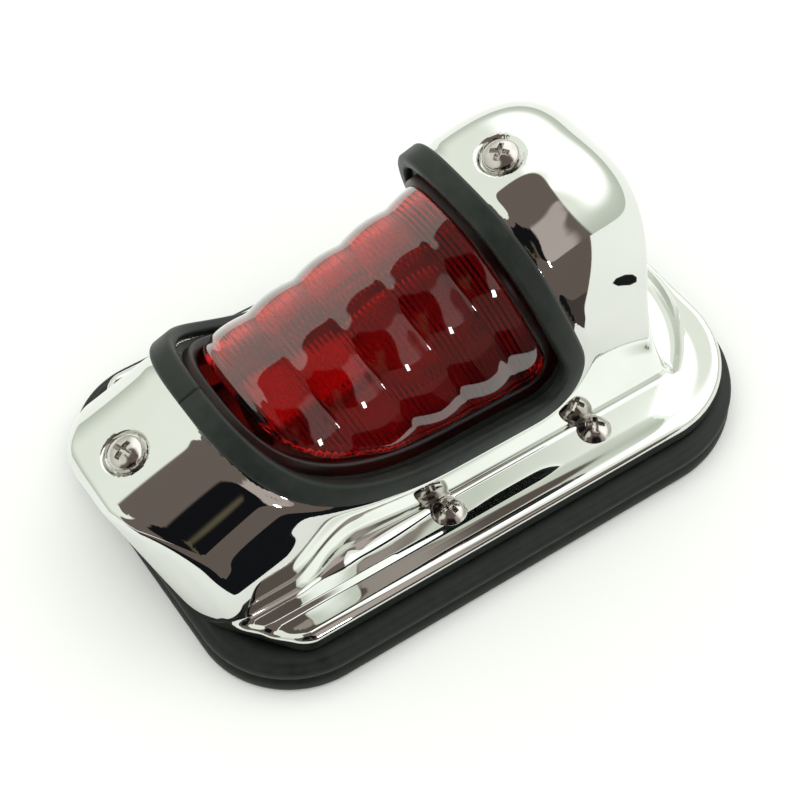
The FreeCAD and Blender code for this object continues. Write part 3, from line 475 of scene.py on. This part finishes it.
def strip_section(half_wide, low, high, corner, steps=6):
    """Rounded rectangle as (across, outward) pairs."""
    points = []
    hubs = ((half_wide - corner, high - corner, 0.0), (-half_wide + corner, high - corner, 90.0),
            (-half_wide + corner, low + corner, 180.0), (half_wide - corner, low + corner, 270.0))
    for across, out, start in hubs:
        for step in range(steps + 1):
            angle = math.radians(start + 90.0 * step / steps)
            points.append((across + corner * math.cos(angle), out + corner * math.sin(angle)))
    return np.array(points)


def sweep(name, path, across, out, section, closed=False):
    """Section carried along a path; the ends are capped where it is open."""
    rings = (path[:, None, :] + section[None, :, :1] * across[:, None, :]
             + section[None, :, 1:] * out[:, None, :])
    count, size = rings.shape[:2]
    faces = ring_faces(count, size, closed)
    if not closed:
        faces.append(tuple(range(size))[::-1])
        faces.append(tuple((count - 1) * size + k for k in range(size)))
    return mesh_object(name, rings.reshape(-1, 3), faces)


PATH_COUNT = 220
TRIM_HALF, TRIM_LOW, TRIM_HIGH, TRIM_CORNER, TRIM_CROWN = 3.2, -1.9, 1.75, 1.1, 0.25
SEAM_HALF = 0.2
RIM_INSET, RIM_HALF, RIM_LOW, RIM_HIGH, RIM_CORNER = 3.7, 4.7, -7.2, -4.2, 0.8


def make_trim():
    """Rubber strip with a slightly crowned top; its two ends meet in a seam at the nose."""
    path = smooth_path(full_loop(TRIM_HALF, PATH_COUNT))
    start = path[0]
    path[0] = start + np.array([0.0, -SEAM_HALF, 0.0])
    path[-1] = start + np.array([0.0, SEAM_HALF, 0.0])
    across, out = frames(path)
    section = strip_section(TRIM_HALF, TRIM_LOW, TRIM_HIGH, TRIM_CORNER)
    crown = TRIM_CROWN * (1.0 - (section[:, 0] / TRIM_HALF) ** 2)
    section[:, 1] += np.where(section[:, 1] > 0.5, crown, 0.0)
    return sweep("edge_strip", path, across, out, section)


def make_lens_rim():
    """Flat rim of the lens, clamped under the strip."""
    path = smooth_path(full_loop(RIM_INSET, PATH_COUNT))
    path[-1] = path[0]
    across, out = frames(path)
    section = strip_section(RIM_HALF, RIM_LOW, RIM_HIGH, RIM_CORNER)
    return sweep("lens_rim", path[:-1], across[:-1], out[:-1], section, closed=True)


# ---------------------------------------------------------------- the lens

LENS_HALF, LENS_POWER, LENS_DROP, LENS_WALL, LENS_INSET = 28.0, 2.4, 2.0, 2.5, 8.5
LENS_FIRST, LENS_LAST, LENS_ROUND = -41.0, 28.9, 3.0
LENS_COUNT, LENS_STEP, WAVE_FADE = 121, 0.35, 3.0
WAVE_PITCH, WAVE_DEPTH, WAVE_FIRST = 15.0, 1.05, -40.0
RIB_DEPTH, RIB_PITCH = 0.16, 1.4


def wave_dip(station):
    """How far the lens lies below its bulges; the valleys have a small round."""
    share = ((station - WAVE_FIRST) / WAVE_PITCH) % 1.0
    off = np.minimum(share, 1.0 - share) * 2.0
    return WAVE_DEPTH * np.maximum(1.0 - np.sqrt(off * off + 0.012), 0.0) ** 1.8


def lens_point(station, angle, drop):
    """Point of the leaning section at a station."""
    half = LENS_HALF - drop
    share = np.abs(np.sin(angle)) ** (2.0 / LENS_POWER)
    height = share * (CREST - LENS_DROP - drop - PAD_TOP + LEAN * station)
    height = height / (1.0 + share * LEAN * LEAN)
    across = half * np.sign(np.cos(angle)) * np.abs(np.cos(angle)) ** (2.0 / LENS_POWER)
    return np.stack([station - LEAN * height, across, PAD_TOP + height], -1)


def lens_edge_height(station):
    """Height at which a leaning section meets the lens's lower edge."""
    z = np.linspace(PAD_TOP + 1.0, 90.0, 1600)
    x = station - LEAN * (z - PAD_TOP)
    inside = opening(x, z) < -LENS_INSET
    return z[np.argmax(inside)] if inside.any() else None


def lens_row(station, drop):
    """Evenly spaced points across a section, edge to edge over the crest."""
    angle = np.linspace(0.0, math.pi / 2.0, 900)
    curve = lens_point(station, math.pi - angle, drop)
    edge = lens_edge_height(station)
    curve = curve[curve[:, 2] >= edge]
    if len(curve) < 2:
        top = lens_point(station, np.array([math.pi / 2.0]), drop)[0]
        if top[2] < edge:
            top = np.array([station - LEAN * (edge - PAD_TOP), 0.0, edge])
        return np.array([top] * LENS_COUNT)
    first = curve[0].copy()
    first[2] = edge
    first[0] = station - LEAN * (edge - PAD_TOP)
    curve = np.concatenate([[first], curve])
    far = curve[::-1][1:] * np.array([1.0, -1.0, 1.0])
    return spread_evenly(np.concatenate([curve, far]), LENS_COUNT)


def make_lens():
    """Thin closed shell: waved outside, fine ribs across the inside."""
    rows = []
    # end wall from its middle outwards, then the rounded edge, then the barrel
    for depth in np.linspace(22.0, LENS_ROUND, 14)[:-1]:
        rows.append((LENS_FIRST, WAVE_DEPTH + depth))
    for step in range(8):
        turn = math.pi / 2.0 * step / 8
        rows.append((LENS_FIRST + LENS_ROUND * (1.0 - math.cos(turn)),
                     WAVE_DEPTH + LENS_ROUND * (1.0 - math.sin(turn))))
    barrel_start = LENS_FIRST + LENS_ROUND
    stations = np.arange(barrel_start, LENS_LAST + 0.01, LENS_STEP)
    outer = [lens_row(station, drop) for station, drop in rows]
    for station in stations:
        dip = float(wave_dip(np.array(station))) if station > WAVE_FIRST + 2.0 else WAVE_DEPTH
        blend = float(ease((station - barrel_start) / WAVE_FADE))
        outer.append(lens_row(station, WAVE_DEPTH + blend * (dip - WAVE_DEPTH)))
    inner = []
    for station, drop in rows:
        inner.append(lens_row(min(station + LENS_WALL, barrel_start), drop + LENS_WALL))
    for station in stations:
        rib = RIB_DEPTH * math.cos(2.0 * math.pi * station / RIB_PITCH)
        inner.append(lens_row(max(station, LENS_FIRST + LENS_WALL), WAVE_DEPTH + LENS_WALL + rib))
    n_rows, count = len(outer), LENS_COUNT
    points = np.array(outer + inner).reshape(-1, 3)
    offset = n_rows * count
    faces = []
    for i in range(n_rows - 1):
        for j in range(count - 1):
            a, b = i * count + j, i * count + j + 1
            c, d = (i + 1) * count + j + 1, (i + 1) * count + j
            faces.append((a, d, c, b))
            faces.append((offset + a, offset + b, offset + c, offset + d))
    for i in range(n_rows - 1):
        for j in (0, count - 1):
            a, d = i * count + j, (i + 1) * count + j
            quad = (a, offset + a, offset + d, d)
            faces.append(quad if j == 0 else quad[::-1])
    for j in range(count - 1):
        a, b = (n_rows - 1) * count + j, (n_rows - 1) * count + j + 1
        faces.append((a, offset + a, offset + b, b))
        faces.append((j, j + 1, offset + j + 1, offset + j))
    item = mesh_object("lens_body", points, faces)
    weld(item)
    return item


# ---------------------------------------------------------------- the rubber pad

PAD_NOSE_CORNER, PAD_DEEP_CORNER = 25.0, 36.0
# the ring's section as pairs: inset from the pad's outline and height
PAD_SECTION = [
    (13.8, 0.15), (12.6, 0.0), (1.3, 0.0), (0.5, 0.25), (0.1, 0.9), (0.0, 1.8), (0.12, 2.8), (0.55, 3.5),
    (1.1, 3.85), (1.25, 4.15), (1.2, 4.45), (0.9, 4.8), (0.4, 5.15), (0.12, 5.8), (0.1, 6.7),
    (0.35, 7.5), (0.9, 7.95), (1.6, 8.15), (2.1, 8.4), (2.4, 8.8), (2.9, 8.97), (8.3, 8.97),
    (8.3, 7.1), (13.8, 7.0),
]


def pad_outline(inset, count=28):
    """Closed plan outline of the pad drawn in by the inset."""
    low, high = box_of("mounting_gasket")
    x0, x1, half = low[0] + inset, high[0] - inset, high[1] - inset
    nose, deep = max(PAD_NOSE_CORNER - inset, 4.0), max(PAD_DEEP_CORNER - inset, 4.0)
    points = []
    corners = ((x0 + nose, -half + nose, nose, 180.0), (x1 - deep, -half + deep, deep, 270.0),
               (x1 - deep, half - deep, deep, 0.0), (x0 + nose, half - nose, nose, 90.0))
    for cx, cy, radius, start in corners:
        for step in range(count + 1):
            angle = math.radians(start + 90.0 * step / count)
            points.append((cx + radius * math.cos(angle), cy + radius * math.sin(angle)))
    return np.array(points)


def make_pad():
    """Rubber ring with two beads and a ledge."""
    rings = []
    for inset, height in PAD_SECTION:
        ring = pad_outline(inset)
        rings.append(np.column_stack([ring, np.full(len(ring), height)]))
    faces = ring_faces(len(rings), len(rings[0]), closed=True)
    item = mesh_object("rubber_pad", np.concatenate(rings), faces)
    weld(item)
    return item


# ---------------------------------------------------------------- screws

def cross_recess(u, v, w, depth, reach, width):
    """Tapered cross cut downwards from w = 0."""
    taper = np.clip(-w / depth, 0.0, 1.0)
    arm = reach * (1.0 - 0.45 * taper)
    thick = width * (1.0 - 0.35 * taper)
    one = np.maximum(np.abs(u) - arm / 2.0, np.abs(v) - thick / 2.0)
    two = np.maximum(np.abs(v) - arm / 2.0, np.abs(u) - thick / 2.0)
    core = np.hypot(u, v) - 0.95 * (1.0 - 0.5 * taper)
    cross = np.minimum(np.minimum(one, two), core)
    return both(cross, -depth - w, 0.2)


def pan_screw(radius, high, dome, shank, length):
    """Field of a screw whose head's underside is at w = 0."""
    def field(u, v, w):
        r = np.hypot(u, v)
        ball = np.sqrt(r * r + (w - (high - dome)) ** 2) - dome
        head = both(both(r - radius, ball, 0.7), -w, 0.25)
        body = both(head, -cross_recess(u, v, w - high, 1.8, 5.8, 1.35), 0.12)
        stem = both(r - shank, np.abs(w + length / 2.0) - length / 2.0, 0.4)
        return np.minimum(body, stem)
    return field


def spin_by(degrees):
    """Turn about the screw's own axis, for rows of points."""
    angle = math.radians(degrees)
    return np.array([[math.cos(angle), math.sin(angle), 0.0], [-math.sin(angle), math.cos(angle), 0.0],
                     [0.0, 0.0, 1.0]])


def make_screws():
    """The two leaning end screws and one object with the four side screws, each with the node it shows."""
    made = []
    cell = 0.19
    head = pan_screw(4.75, HEAD_HIGH, 7.0, 2.4, 12.0)
    points, quads, normals = net(head, (-5.4, -5.4, -12.8), (5.4, 5.4, 3.6), cell, relax=2)
    basis = np.stack([[math.cos(TILT), 0.0, math.sin(TILT)], [0.0, 1.0, 0.0], SEAT_UP])
    for (node, (centre, top)), turn in zip(END_SCREWS.items(), (20.0, 35.0)):
        spin = spin_by(turn)
        seat = centre + SEAT_UP * (top - HEAD_HIGH)
        item = mesh_object(node + "_head", points @ spin @ basis + seat, quads, normals @ spin @ basis)
        made.append((item, node))
    dome = pan_screw(4.9, SIDE_HEAD_HIGH, 5.4, 2.4, 7.0)
    points, quads, normals = net(dome, (-5.6, -5.6, -7.8), (5.6, 5.6, 4.2), cell, relax=2)
    height = box_of("side_screws")[1][2] - SIDE_HEAD_HIGH - SIDE_HEAD_DROP
    all_points, all_quads, all_normals = [], [], []
    for number, spot in enumerate(side_spots()):
        spin = spin_by(15.0 + 40.0 * number)
        seat = np.array([spot[0], spot[1], height])
        all_points.append(points @ spin + seat)
        all_quads.append(quads + number * len(points))
        all_normals.append(normals @ spin)
    item = mesh_object("side_screw_heads", np.concatenate(all_points), np.concatenate(all_quads),
                       np.concatenate(all_normals))
    made.append((item, "side_screws"))
    return made


# ---------------------------------------------------------------- materials

BUMP_HIGH = 0.0002


def new_material(name):
    material = bpy.data.materials.new(name)
    material.use_nodes = True
    tree = material.node_tree
    shader = tree.nodes["Principled BSDF"]
    return material, tree, shader


def noise(tree, scale, detail=3.0, rough=0.5):
    coord = tree.nodes.new("ShaderNodeTexCoord")
    item = tree.nodes.new("ShaderNodeTexNoise")
    item.inputs["Scale"].default_value = scale
    item.inputs["Detail"].default_value = detail
    item.inputs["Roughness"].default_value = rough
    tree.links.new(coord.outputs["Object"], item.inputs["Vector"])
    return item


def spread(tree, source, low, high, start=0.3, end=0.7):
    item = tree.nodes.new("ShaderNodeMapRange")
    item.inputs["From Min"].default_value = start
    item.inputs["From Max"].default_value = end
    item.inputs["To Min"].default_value = low
    item.inputs["To Max"].default_value = high
    tree.links.new(source, item.inputs["Value"])
    return item.outputs["Result"]


def tint(tree, source, first, second, start=0.3, end=0.7):
    ramp = tree.nodes.new("ShaderNodeValToRGB")
    ramp.color_ramp.elements[0].position = start
    ramp.color_ramp.elements[1].position = end
    ramp.color_ramp.elements[0].color = (*first, 1.0)
    ramp.color_ramp.elements[1].color = (*second, 1.0)
    tree.links.new(source, ramp.inputs["Fac"])
    return ramp.outputs["Color"]


def bump(tree, source, strength):
    item = tree.nodes.new("ShaderNodeBump")
    item.inputs["Strength"].default_value = strength
    item.inputs["Distance"].default_value = BUMP_HIGH
    tree.links.new(source, item.inputs["Height"])
    return item.outputs["Normal"]


def mottle(tree, shader, source, first, second, rough):
    """Colour and roughness that wander a little over the surface."""
    tree.links.new(tint(tree, source, first, second), shader.inputs["Base Color"])
    tree.links.new(spread(tree, source, *rough), shader.inputs["Roughness"])


def metal(name, first, second, rough, scale, grain=0.0):
    material, tree, shader = new_material(name)
    shader.inputs["Metallic"].default_value = 1.0
    mottle(tree, shader, noise(tree, scale).outputs["Fac"], first, second, rough)
    if grain:
        fine = noise(tree, scale * 30.0)
        tree.links.new(bump(tree, fine.outputs["Fac"], grain), shader.inputs["Normal"])
    return material


def make_rubber(name, dark, light, scale, rough=(0.42, 0.6)):
    material, tree, shader = new_material(name)
    mottle(tree, shader, noise(tree, scale, 6.0, 0.6).outputs["Fac"], dark, light, rough)
    shader.inputs["Specular IOR Level"].default_value = 0.26
    fine = noise(tree, scale * 8.0, 4.0, 0.7)
    tree.links.new(bump(tree, fine.outputs["Fac"], 0.25), shader.inputs["Normal"])
    return material


def make_red(name, coat, rough, deep, clear):
    material, tree, shader = new_material(name)
    shader.inputs["Transmission Weight"].default_value = 1.0
    shader.inputs["IOR"].default_value = 1.49
    shader.inputs["Coat Weight"].default_value = coat
    shader.inputs["Coat Roughness"].default_value = 0.03
    shader.inputs["Coat IOR"].default_value = 1.7
    mottle(tree, shader, noise(tree, 30.0).outputs["Fac"], deep, clear, rough)
    return material


def make_clear(name, colour, ior, rough):
    material, tree, shader = new_material(name)
    shader.inputs["Transmission Weight"].default_value = 1.0
    shader.inputs["IOR"].default_value = ior
    second = tuple(part * 0.96 for part in colour)
    mottle(tree, shader, noise(tree, 40.0).outputs["Fac"], colour, second, (rough * 0.5, rough * 1.5))
    return material


def make_fibre():
    material, tree, shader = new_material("insulating_board")
    base = noise(tree, 400.0, 8.0, 0.7)
    tree.links.new(tint(tree, base.outputs["Fac"], (0.05, 0.03, 0.02), (0.12, 0.07, 0.045)),
                   shader.inputs["Base Color"])
    shader.inputs["Roughness"].default_value = 0.7
    tree.links.new(bump(tree, base.outputs["Fac"], 0.3), shader.inputs["Normal"])
    return material


chrome = metal("chrome_plate", (0.70, 0.715, 0.685), (0.74, 0.75, 0.725), (0.015, 0.045), 45.0)
pad_rubber = make_rubber("pad_rubber", (0.006, 0.009, 0.007), (0.014, 0.018, 0.015), 260.0)
trim_rubber = make_rubber("trim_rubber", (0.010, 0.014, 0.011), (0.019, 0.024, 0.020), 180.0, (0.36, 0.5))
red = make_red("red_lens_plastic", 1.0, (0.015, 0.04), (0.56, 0.005, 0.005), (0.68, 0.009, 0.008))
rim_red = make_red("red_rim_plastic", 0.0, (0.34, 0.5), (0.13, 0.002, 0.002), (0.2, 0.003, 0.003))
screw_steel = metal("bright_screw_steel", (0.50, 0.47, 0.44), (0.66, 0.63, 0.60), (0.08, 0.18), 300.0, 0.05)
zinc = metal("zinc_plate", (0.42, 0.43, 0.42), (0.62, 0.62, 0.6), (0.28, 0.5), 90.0, 0.15)
spring = metal("spring_steel", (0.3, 0.3, 0.3), (0.45, 0.44, 0.42), (0.25, 0.4), 200.0, 0.1)
brass = metal("plain_brass", (0.55, 0.38, 0.14), (0.72, 0.54, 0.24), (0.2, 0.4), 120.0, 0.1)
alloy = metal("rivet_alloy", (0.6, 0.6, 0.6), (0.75, 0.75, 0.76), (0.25, 0.4), 200.0, 0.1)
solder = metal("dull_solder", (0.35, 0.35, 0.36), (0.55, 0.55, 0.56), (0.35, 0.55), 500.0, 0.3)
tungsten = metal("tungsten_wire", (0.12, 0.12, 0.12), (0.25, 0.25, 0.25), (0.3, 0.5), 500.0)
fibre = make_fibre()
clear_plastic = make_clear("clear_acrylic", (0.93, 0.95, 0.94), 1.49, 0.03)
glass = make_clear("bulb_glass_clear", (0.96, 0.97, 0.97), 1.5, 0.01)
SLOT_LOOKS = {
    "rubber": pad_rubber, "zinc_steel": zinc, "chrome": chrome, "red_plastic": red,
    "bright_screw": screw_steel, "clear_plastic": clear_plastic, "spring_steel": spring, "brass": brass,
    "aluminium": alloy, "fibre": fibre, "solder": solder, "glass": glass, "tungsten": tungsten,
}


def wear(item, material):
    item.data.materials.clear()
    item.data.materials.append(material)


for row in frame["record"]["subparts"]:
    wear(nodes[row["node"]], SLOT_LOOKS[row["material_slot"]])


# ---------------------------------------------------------------- pieces around the frame

def dress(item, material, slot, *replaced):
    """Puts a piece on the light, with its look and the nodes that it stands for; the slot is not used."""
    wear(item, material)
    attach(item, "light")
    if replaced:
        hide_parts(*replaced)


dress(make_housing(), chrome, "chrome", "housing")
dress(make_trim(), trim_rubber, "rubber", "lens_trim")
dress(make_lens(), red, "red_plastic", "red_lens")
dress(make_lens_rim(), rim_red, "red_plastic")
dress(make_pad(), pad_rubber, "rubber", "mounting_gasket")
for item, node in make_screws():
    dress(item, screw_steel, "bright_screw", node)


def make_coil():
    """The contact spring, as its own copy of the node's mesh."""
    coil = add_object("contact_coil", nodes["contact_spring"].data.copy())
    dress(coil, spring, "spring_steel", "contact_spring")
    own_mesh(coil)


make_coil()


# ---------------------------------------------------------------- floor, light and camera

def glow_material(name):
    """Material that only gives light, with its tree and its emission node."""
    material = bpy.data.materials.new(name)
    material.use_nodes = True
    tree = material.node_tree
    tree.nodes.clear()
    glow = tree.nodes.new("ShaderNodeEmission")
    out = tree.nodes.new("ShaderNodeOutputMaterial")
    tree.links.new(glow.outputs["Emission"], out.inputs["Surface"])
    return material, tree, glow


def emitter(name, colour, strength):
    material, _, glow = glow_material(name)
    glow.inputs["Color"].default_value = (*colour, 1.0)
    glow.inputs["Strength"].default_value = strength
    return material


def stage_mesh(name, points, faces, material):
    """Object of the surroundings, from points in metres."""
    mesh = bpy.data.meshes.new(name)
    mesh.from_pydata(points, [], faces)
    item = add_object(name, mesh)
    item.data.materials.append(material)
    return item


def plane(name, centre, toward, wide, high, material, up=(0.0, 0.0, 1.0)):
    """Flat card in metres that faces a point."""
    centre, toward, up = Vector(centre), Vector(toward), Vector(up)
    front = (toward - centre).normalized()
    side = front.cross(up).normalized()
    lift = side.cross(front)
    points = [list(centre + side * (a * wide / 2.0) + lift * (b * high / 2.0))
              for a, b in ((-1, -1), (1, -1), (1, 1), (-1, 1))]
    return stage_mesh(name, points, [(0, 1, 2, 3)], material)


# the camera: how far it looks down and how far it is turned, its distance from the light and its shift
CAM_DOWN, CAM_TURN = math.radians(51.22384), math.radians(34.20762)
CAM_AWAY, CAM_RIGHT, CAM_UP, CAM_LENS, CAM_SENSOR = 484.415, -5.992, 5.024, 81.0, 36.0


def make_camera():
    ahead = Vector((math.sin(CAM_TURN) * math.cos(CAM_DOWN), math.cos(CAM_TURN) * math.cos(CAM_DOWN),
                    -math.sin(CAM_DOWN)))
    right = Vector((math.cos(CAM_TURN), -math.sin(CAM_TURN), 0.0))
    lift = right.cross(ahead)
    spot = (-ahead * CAM_AWAY + right * CAM_RIGHT + lift * CAM_UP) * MM
    data = bpy.data.cameras.new("camera")
    data.lens, data.sensor_width = CAM_LENS, CAM_SENSOR
    data.clip_start = 0.01
    camera = add_object("camera", data)
    camera.matrix_world = Matrix.Translation(spot) @ Matrix((right, lift, -ahead)).transposed().to_4x4()
    bpy.context.scene.camera = camera


def make_studio():
    """Pale world and a white floor; the view transform is the plain one."""
    world = bpy.data.worlds.new("studio")
    world.use_nodes = True
    background = world.node_tree.nodes["Background"]
    background.inputs["Color"].default_value = (0.98, 1.0, 0.96, 1.0)
    background.inputs["Strength"].default_value = 1.22
    bpy.context.scene.world = world
    bpy.context.scene.view_settings.view_transform = "Standard"
    look, _, shader = new_material("studio_floor")
    shader.inputs["Base Color"].default_value = (0.93, 0.935, 0.92, 1.0)
    shader.inputs["Roughness"].default_value = 0.9
    plane("floor", (0.0, 0.0, -0.0002), (0.0, 0.0, 1.0), 6.0, 6.0, look, (0.0, 1.0, 0.0))


make_camera()
make_studio()


# ---------------------------------------------------------------- what the chrome and the lens mirror

class Shade:
    """Small helper for sums in a shader tree."""

    def __init__(self, tree):
        self.tree = tree

    def math(self, kind, *values):
        item = self.tree.nodes.new("ShaderNodeMath")
        item.operation = kind
        for socket, value in zip(item.inputs, values):
            if isinstance(value, (int, float)):
                socket.default_value = value
            else:
                self.tree.links.new(value, socket)
        return item.outputs[0]

    def rise(self, value, low, high):
        item = self.tree.nodes.new("ShaderNodeMapRange")
        item.interpolation_type = "SMOOTHSTEP"
        item.inputs["From Min"].default_value = low
        item.inputs["From Max"].default_value = high
        self.tree.links.new(value, item.inputs["Value"])
        return item.outputs["Result"]

    def band(self, value, low, high, soft):
        start = self.rise(value, low - soft, low + soft)
        end = self.rise(value, high + soft, high - soft)
        return self.math("MULTIPLY", start, end)

    def patch(self, turn, rise, turns, rises):
        """Soft rectangle on the dome; turns and rises each give low, high and softness in degrees."""
        return self.math("MULTIPLY", self.band(turn, *turns), self.band(rise, *rises))

    def blend(self, share, first, second):
        item = self.tree.nodes.new("ShaderNodeMix")
        item.data_type = "RGBA"
        for socket, value in ((item.inputs[0], share), (item.inputs[6], first), (item.inputs[7], second)):
            if isinstance(value, tuple):
                socket.default_value = (*value, 1.0)
            else:
                self.tree.links.new(value, socket)
        return item.outputs[2]


def room_look():
    """A white tent that is open on the camera's side, where a dim room shows; set by direction only."""
    material, tree, glow = glow_material("tent_and_room")
    shade = Shade(tree)
    coord = tree.nodes.new("ShaderNodeTexCoord")
    wobble = tree.nodes.new("ShaderNodeTexNoise")
    wobble.inputs["Scale"].default_value = 2.2
    wobble.inputs["Detail"].default_value = 2.0
    unit = tree.nodes.new("ShaderNodeVectorMath")
    unit.operation = "NORMALIZE"
    tree.links.new(coord.outputs["Object"], unit.inputs[0])
    tree.links.new(unit.outputs[0], wobble.inputs["Vector"])
    split = tree.nodes.new("ShaderNodeSeparateXYZ")
    tree.links.new(unit.outputs[0], split.inputs[0])
    dx, dy, dz = split.outputs
    wave = shade.math("SUBTRACT", wobble.outputs["Fac"], 0.5)
    # edges of the tent's open side
    side = shade.math("SUBTRACT", 0.51, shade.math("ADD", dx, shade.math("MULTIPLY", dz, 0.27)))
    left = shade.math("SUBTRACT", 1.36, shade.math("SUBTRACT", dz, dx))
    far = shade.math("SUBTRACT", shade.math("ADD", shade.math("MULTIPLY", dz, 0.6), -0.27), dy)
    rounded = shade.math("SMOOTH_MIN", shade.math("SMOOTH_MIN", side, far, 0.5), left, 0.3)
    gap = shade.rise(rounded, -0.01, 0.01)
    turn = shade.math("MULTIPLY", shade.math("ARCTAN2", dy, dx), 180.0 / math.pi)
    rise = shade.math("MULTIPLY", shade.math("ARCSINE", dz), 180.0 / math.pi)
    turn_w = shade.math("ADD", turn, shade.math("MULTIPLY", wave, 24.0))
    rise_w = shade.math("ADD", rise, shade.math("MULTIPLY", wave, 24.0))
    pale = shade.patch(turn_w, rise_w, (-84.0, -66.0, 2.5), (-16.0, 48.0, 3.0))
    dark = shade.patch(turn_w, rise_w, (-140.0, -84.0, 2.0), (-30.0, 46.0, 2.0))
    strap = shade.patch(turn_w, rise_w, (-112.0, -103.0, 2.5), (-16.0, 20.0, 4.0))
    room = shade.blend(pale, (0.17, 0.135, 0.12), (0.52, 0.45, 0.42))
    room = shade.blend(dark, room, (0.008, 0.008, 0.010))
    room = shade.blend(shade.math("MULTIPLY", strap, 0.55), room, (0.20, 0.165, 0.10))
    window = shade.patch(turn, rise, (-52.0, 68.0, 8.0), (18.0, 72.0, 8.0))
    tent = shade.blend(shade.rise(rise, -2.0, 30.0), (0.62, 0.67, 0.58), (1.02, 1.07, 0.97))
    tent = shade.blend(window, tent, (1.7, 1.72, 1.68))
    tree.links.new(shade.blend(gap, tent, room), glow.inputs["Color"])
    return material


def only_mirrored(item):
    item.visible_camera = False
    item.visible_shadow = False
    item.visible_diffuse = False
    item.visible_transmission = False


def make_tent():
    """Half sphere round the light that also reaches a little below the floor."""
    radius, rings, sides = 2.4, 24, 64
    points = []
    for ring in range(rings + 1):
        angle = math.radians(-12.0 + 102.0 * ring / rings)
        for step in range(sides):
            turn = 2.0 * math.pi * step / sides
            wide = radius * math.cos(angle)
            points.append((wide * math.cos(turn), wide * math.sin(turn), radius * math.sin(angle)))
    only_mirrored(stage_mesh("tent", points, ring_faces(rings + 1, sides), room_look()))


SHEET_UP = 0.0004
# sheets of the table that the chrome mirrors: colour, and plan points in metres
SHEETS = {
    "table_front": ((0.008, 0.009, 0.011),
                    [(-0.45, -0.080), (0.03, -0.080), (0.03, -0.128), (-0.45, -0.128)]),
    "table_side": ((0.07, 0.055, 0.05),
                   [(0.03, -0.080), (0.048, -0.080), (0.064, -0.090), (0.086, -0.128), (0.03, -0.128)]),
    "table_back": ((0.15, 0.12, 0.105),
                   [(-0.45, -0.128), (0.086, -0.128), (1.8, -3.2), (-2.4, -3.2)]),
    "table_spot": ((0.012, 0.014, 0.014),
                   [(0.098, -0.097), (0.104, -0.096), (0.110, -0.101), (0.112, -0.108),
                    (0.109, -0.115), (0.102, -0.118), (0.096, -0.114), (0.094, -0.105)]),
}

make_tent()
for sheet, (colour, plan_points) in SHEETS.items():
    places = [(x, y, SHEET_UP) for x, y in plan_points]
    sheet_look = emitter(sheet + "_look", colour, 1.0)
    only_mirrored(stage_mesh(sheet, places, [tuple(range(len(places)))], sheet_look))
lamp_look = emitter("lamp_white", (1.0, 0.98, 0.95), 16.0)
only_mirrored(plane("lamp_card", (0.085, -0.62, 0.03), (0.0, 0.0, 0.03), 0.045, 0.06, lamp_look))
